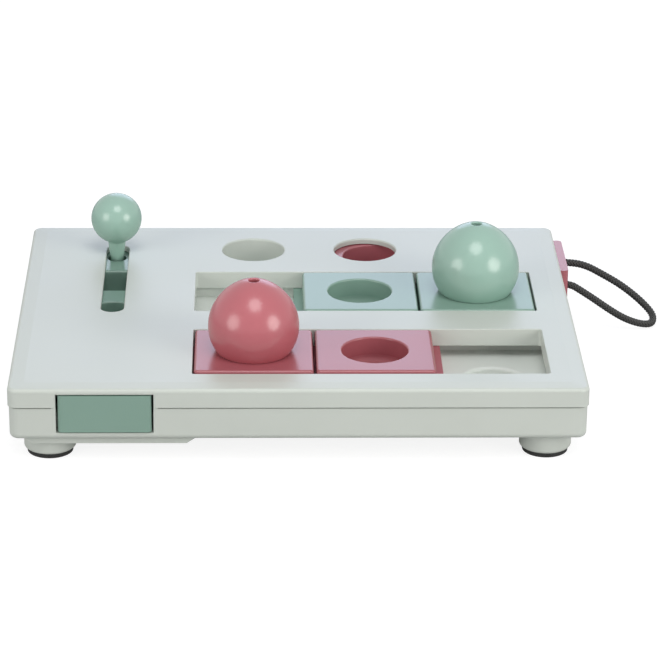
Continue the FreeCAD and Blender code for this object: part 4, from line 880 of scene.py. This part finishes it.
@dataclass
class Screws:
    """The self-tapping screws that hold the shells, the tray and the lever."""

    finishes: Finishes
    head_radius: float = 2.2 * MM
    head_height: float = 1.8 * MM
    head_round: float = 0.5 * MM
    head_sides: int = 36
    head_segments: int = 4
    drive_share: float = 0.45
    drive_sides: int = 6
    shank_radius: float = 0.95 * MM
    shank_sides: int = 20
    # The tip's length and its blunt end, as shares of the shank's radius.
    tip_share: float = 2.2
    blunt_share: float = 0.1
    thread_radius: float = 1.22 * MM
    thread_pitch: float = 0.9 * MM
    ridge_radius: float = 0.36 * MM
    thread_start: float = 0.6 * MM
    thread_run_out: float = 0.9 * MM
    # Each level is that of the heads' middles, and each length is that over the head.
    case_level: float = 19.0 * MM
    case_length: float = 12.0 * MM
    tray_level: float = 11.7 * MM
    tray_length: float = 6.5 * MM
    lever_level: float = 21.2 * MM
    lever_length: float = 6.0 * MM
    lever_head: float = 3.6 * MM
    lever_thread: float = 1.07 * MM
    # Where the screws stand, in millimetres.
    lever_spot: tuple[float, float] = (-86.05, 64.4)
    case_spots: tuple[tuple[float, float], ...] = (
        (-117.05, -50.0), (-117.05, 66.0), (-50.05, 84.0), (-22.05, -92.3), (91.95, -92.3), (57.95, 93.5))
    tray_spots: tuple[tuple[float, float], ...] = (
        (-42.55, -79.0), (88.95, -80.0), (-42.55, 33.0), (104.95, 33.0))

    def make_head(self, head_radius: float) -> bpy.types.Object:
        """Model a head that is rounded underneath and has a hexagon socket there."""
        select_none()
        bpy.ops.mesh.primitive_cylinder_add(vertices=self.head_sides, radius=head_radius,
                                            depth=self.head_height, location=(0, 0, -self.head_height / 2))
        head = bpy.context.object
        shape = edit(head, "EDGE")
        for line in shape.edges:
            line.select = all(vertex.co.z < 0 for vertex in line.verts)
        bpy.ops.mesh.bevel(offset=self.head_round, segments=self.head_segments)
        select_none()
        bpy.ops.mesh.primitive_cylinder_add(vertices=self.drive_sides, radius=head_radius * self.drive_share,
                                            depth=self.head_height, location=(0, 0, -self.head_height))
        drive = bpy.context.object
        select_only(head)
        socket = head.modifiers.new("drive_socket", "BOOLEAN")
        socket.operation = "DIFFERENCE"
        socket.object = drive
        bpy.ops.object.modifier_apply(modifier=socket.name)
        bpy.data.objects.remove(drive)
        return head

    def make_shank(self, core: float, length: float, tip: float) -> list[bpy.types.Object]:
        """Model a smooth shank of a given core radius, and its tip above it."""
        select_none()
        bpy.ops.mesh.primitive_cylinder_add(vertices=self.shank_sides, radius=core, depth=length - tip,
                                            location=(0, 0, (length - tip) / 2))
        shank = bpy.context.object
        select_none()
        bpy.ops.mesh.primitive_cone_add(vertices=self.shank_sides, radius1=core,
                                        radius2=self.blunt_share * core, depth=tip,
                                        location=(0, 0, length - tip / 2))
        return [shank, bpy.context.object]

    def make_thread(self, core: float, length: float, tip: float) -> bpy.types.Object:
        """Wind a three-sided ridge up the shank, as far as the run-out under the tip."""
        select_none()
        bpy.ops.mesh.primitive_circle_add(vertices=3, radius=self.ridge_radius, fill_type="NGON",
                                          location=(core, 0, self.thread_start), rotation=(math.pi / 2, 0, 0))
        thread = bpy.context.object
        bpy.ops.object.transform_apply(location=True, rotation=True, scale=True)
        winding = thread.modifiers.new("thread", "SCREW")
        winding.axis = "Z"
        winding.screw_offset = self.thread_pitch
        winding.iterations = int((length - tip - self.thread_run_out) / self.thread_pitch)
        winding.steps = winding.render_steps = self.shank_sides
        winding.use_normal_calculate = True
        bpy.ops.object.modifier_apply(modifier=winding.name)
        return thread

    def make_screw(self, head_radius: float, length: float, thread_radius: float) -> bpy.types.Object:
        """Model one pan-head screw that points up.

        Args:
            head_radius: the head's radius.
            length: the length over the head.
            thread_radius: the radius over the thread.

        Returns:
            The unplaced screw, its mesh measured from the middle of its head.
        """
        core = thread_radius - (self.thread_radius - self.shank_radius)
        tip = self.tip_share * core
        head = self.make_head(head_radius)
        shank = self.make_shank(core, length, tip)
        return join([head, *shank, self.make_thread(core, length, tip)])

    def make_set(self, name: str, screw: bpy.types.Object, spots: tuple[tuple[float, float], ...],
                 level: float, body: str) -> None:
        """Copy a screw to its spots and settle the set as one piece.

        Args:
            name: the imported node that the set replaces.
            screw: the unplaced screw.
            spots: where each stands, in millimetres.
            level: the level of the heads' middles.
            body: the body that carries them.
        """
        copies = []
        for spot in spots:
            copy = new_object(f"{name}_copy", screw.data.copy())
            copy.location = (*mm(*spot), level)
            apply_place(copy)
            copies.append(copy)
        bpy.data.objects.remove(screw)
        piece = join(copies)
        settle(piece, f"{name}_set", self.finishes.steel, body)
        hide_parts(name)

    def build(self) -> None:
        """Model the three kinds of screw."""
        case = self.make_screw(self.head_radius, self.case_length, self.thread_radius)
        self.make_set("case_screws", case, self.case_spots, self.case_level, "case")
        tray = self.make_screw(self.head_radius, self.tray_length, self.thread_radius)
        self.make_set("tray_screws", tray, self.tray_spots, self.tray_level, "case")
        lever = self.make_screw(self.lever_head, self.lever_length, self.lever_thread)
        self.make_set("lever_screw", lever, (self.lever_spot,), self.lever_level, "lever_drawer")


@dataclass
class Mouldings:
    """The plastic mouldings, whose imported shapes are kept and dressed."""

    finishes: Finishes

    def build(self) -> None:
        """Dress the shells, the tray, the sliders, the domes, the drawers and the lever."""
        for node in ("top_cover", "base_tray"):
            dress(node, self.finishes.pale_shell)
        # The tray's paler grey is painted light for its shaded place under the cover.
        dress("well_tray", self.finishes.pale_tray)
        for node in ("front_left_slider", "front_right_slider"):
            dress(node, self.finishes.pink_slider)
        for node in ("rear_left_slider", "rear_right_slider"):
            dress(node, self.finishes.green_slider)
        dress("side_drawer", self.finishes.pink_drawer)
        dress("front_drawer", self.finishes.green_drawer)
        dress("front_dome", self.finishes.pink_polished)
        for node in ("rear_dome", "lever"):
            dress(node, self.finishes.green_polished)


def main() -> None:
    """Build the studio first, then the cord, the mouldings and the small pieces."""
    logging.basicConfig(level=logging.INFO, format="%(message)s")
    Studio().build()
    finishes = Finishes()
    PullCord(finishes).build()
    Mouldings(finishes).build()
    FootPads(finishes).build()
    Screws(finishes).build()


if __name__ == "__main__":
    main()
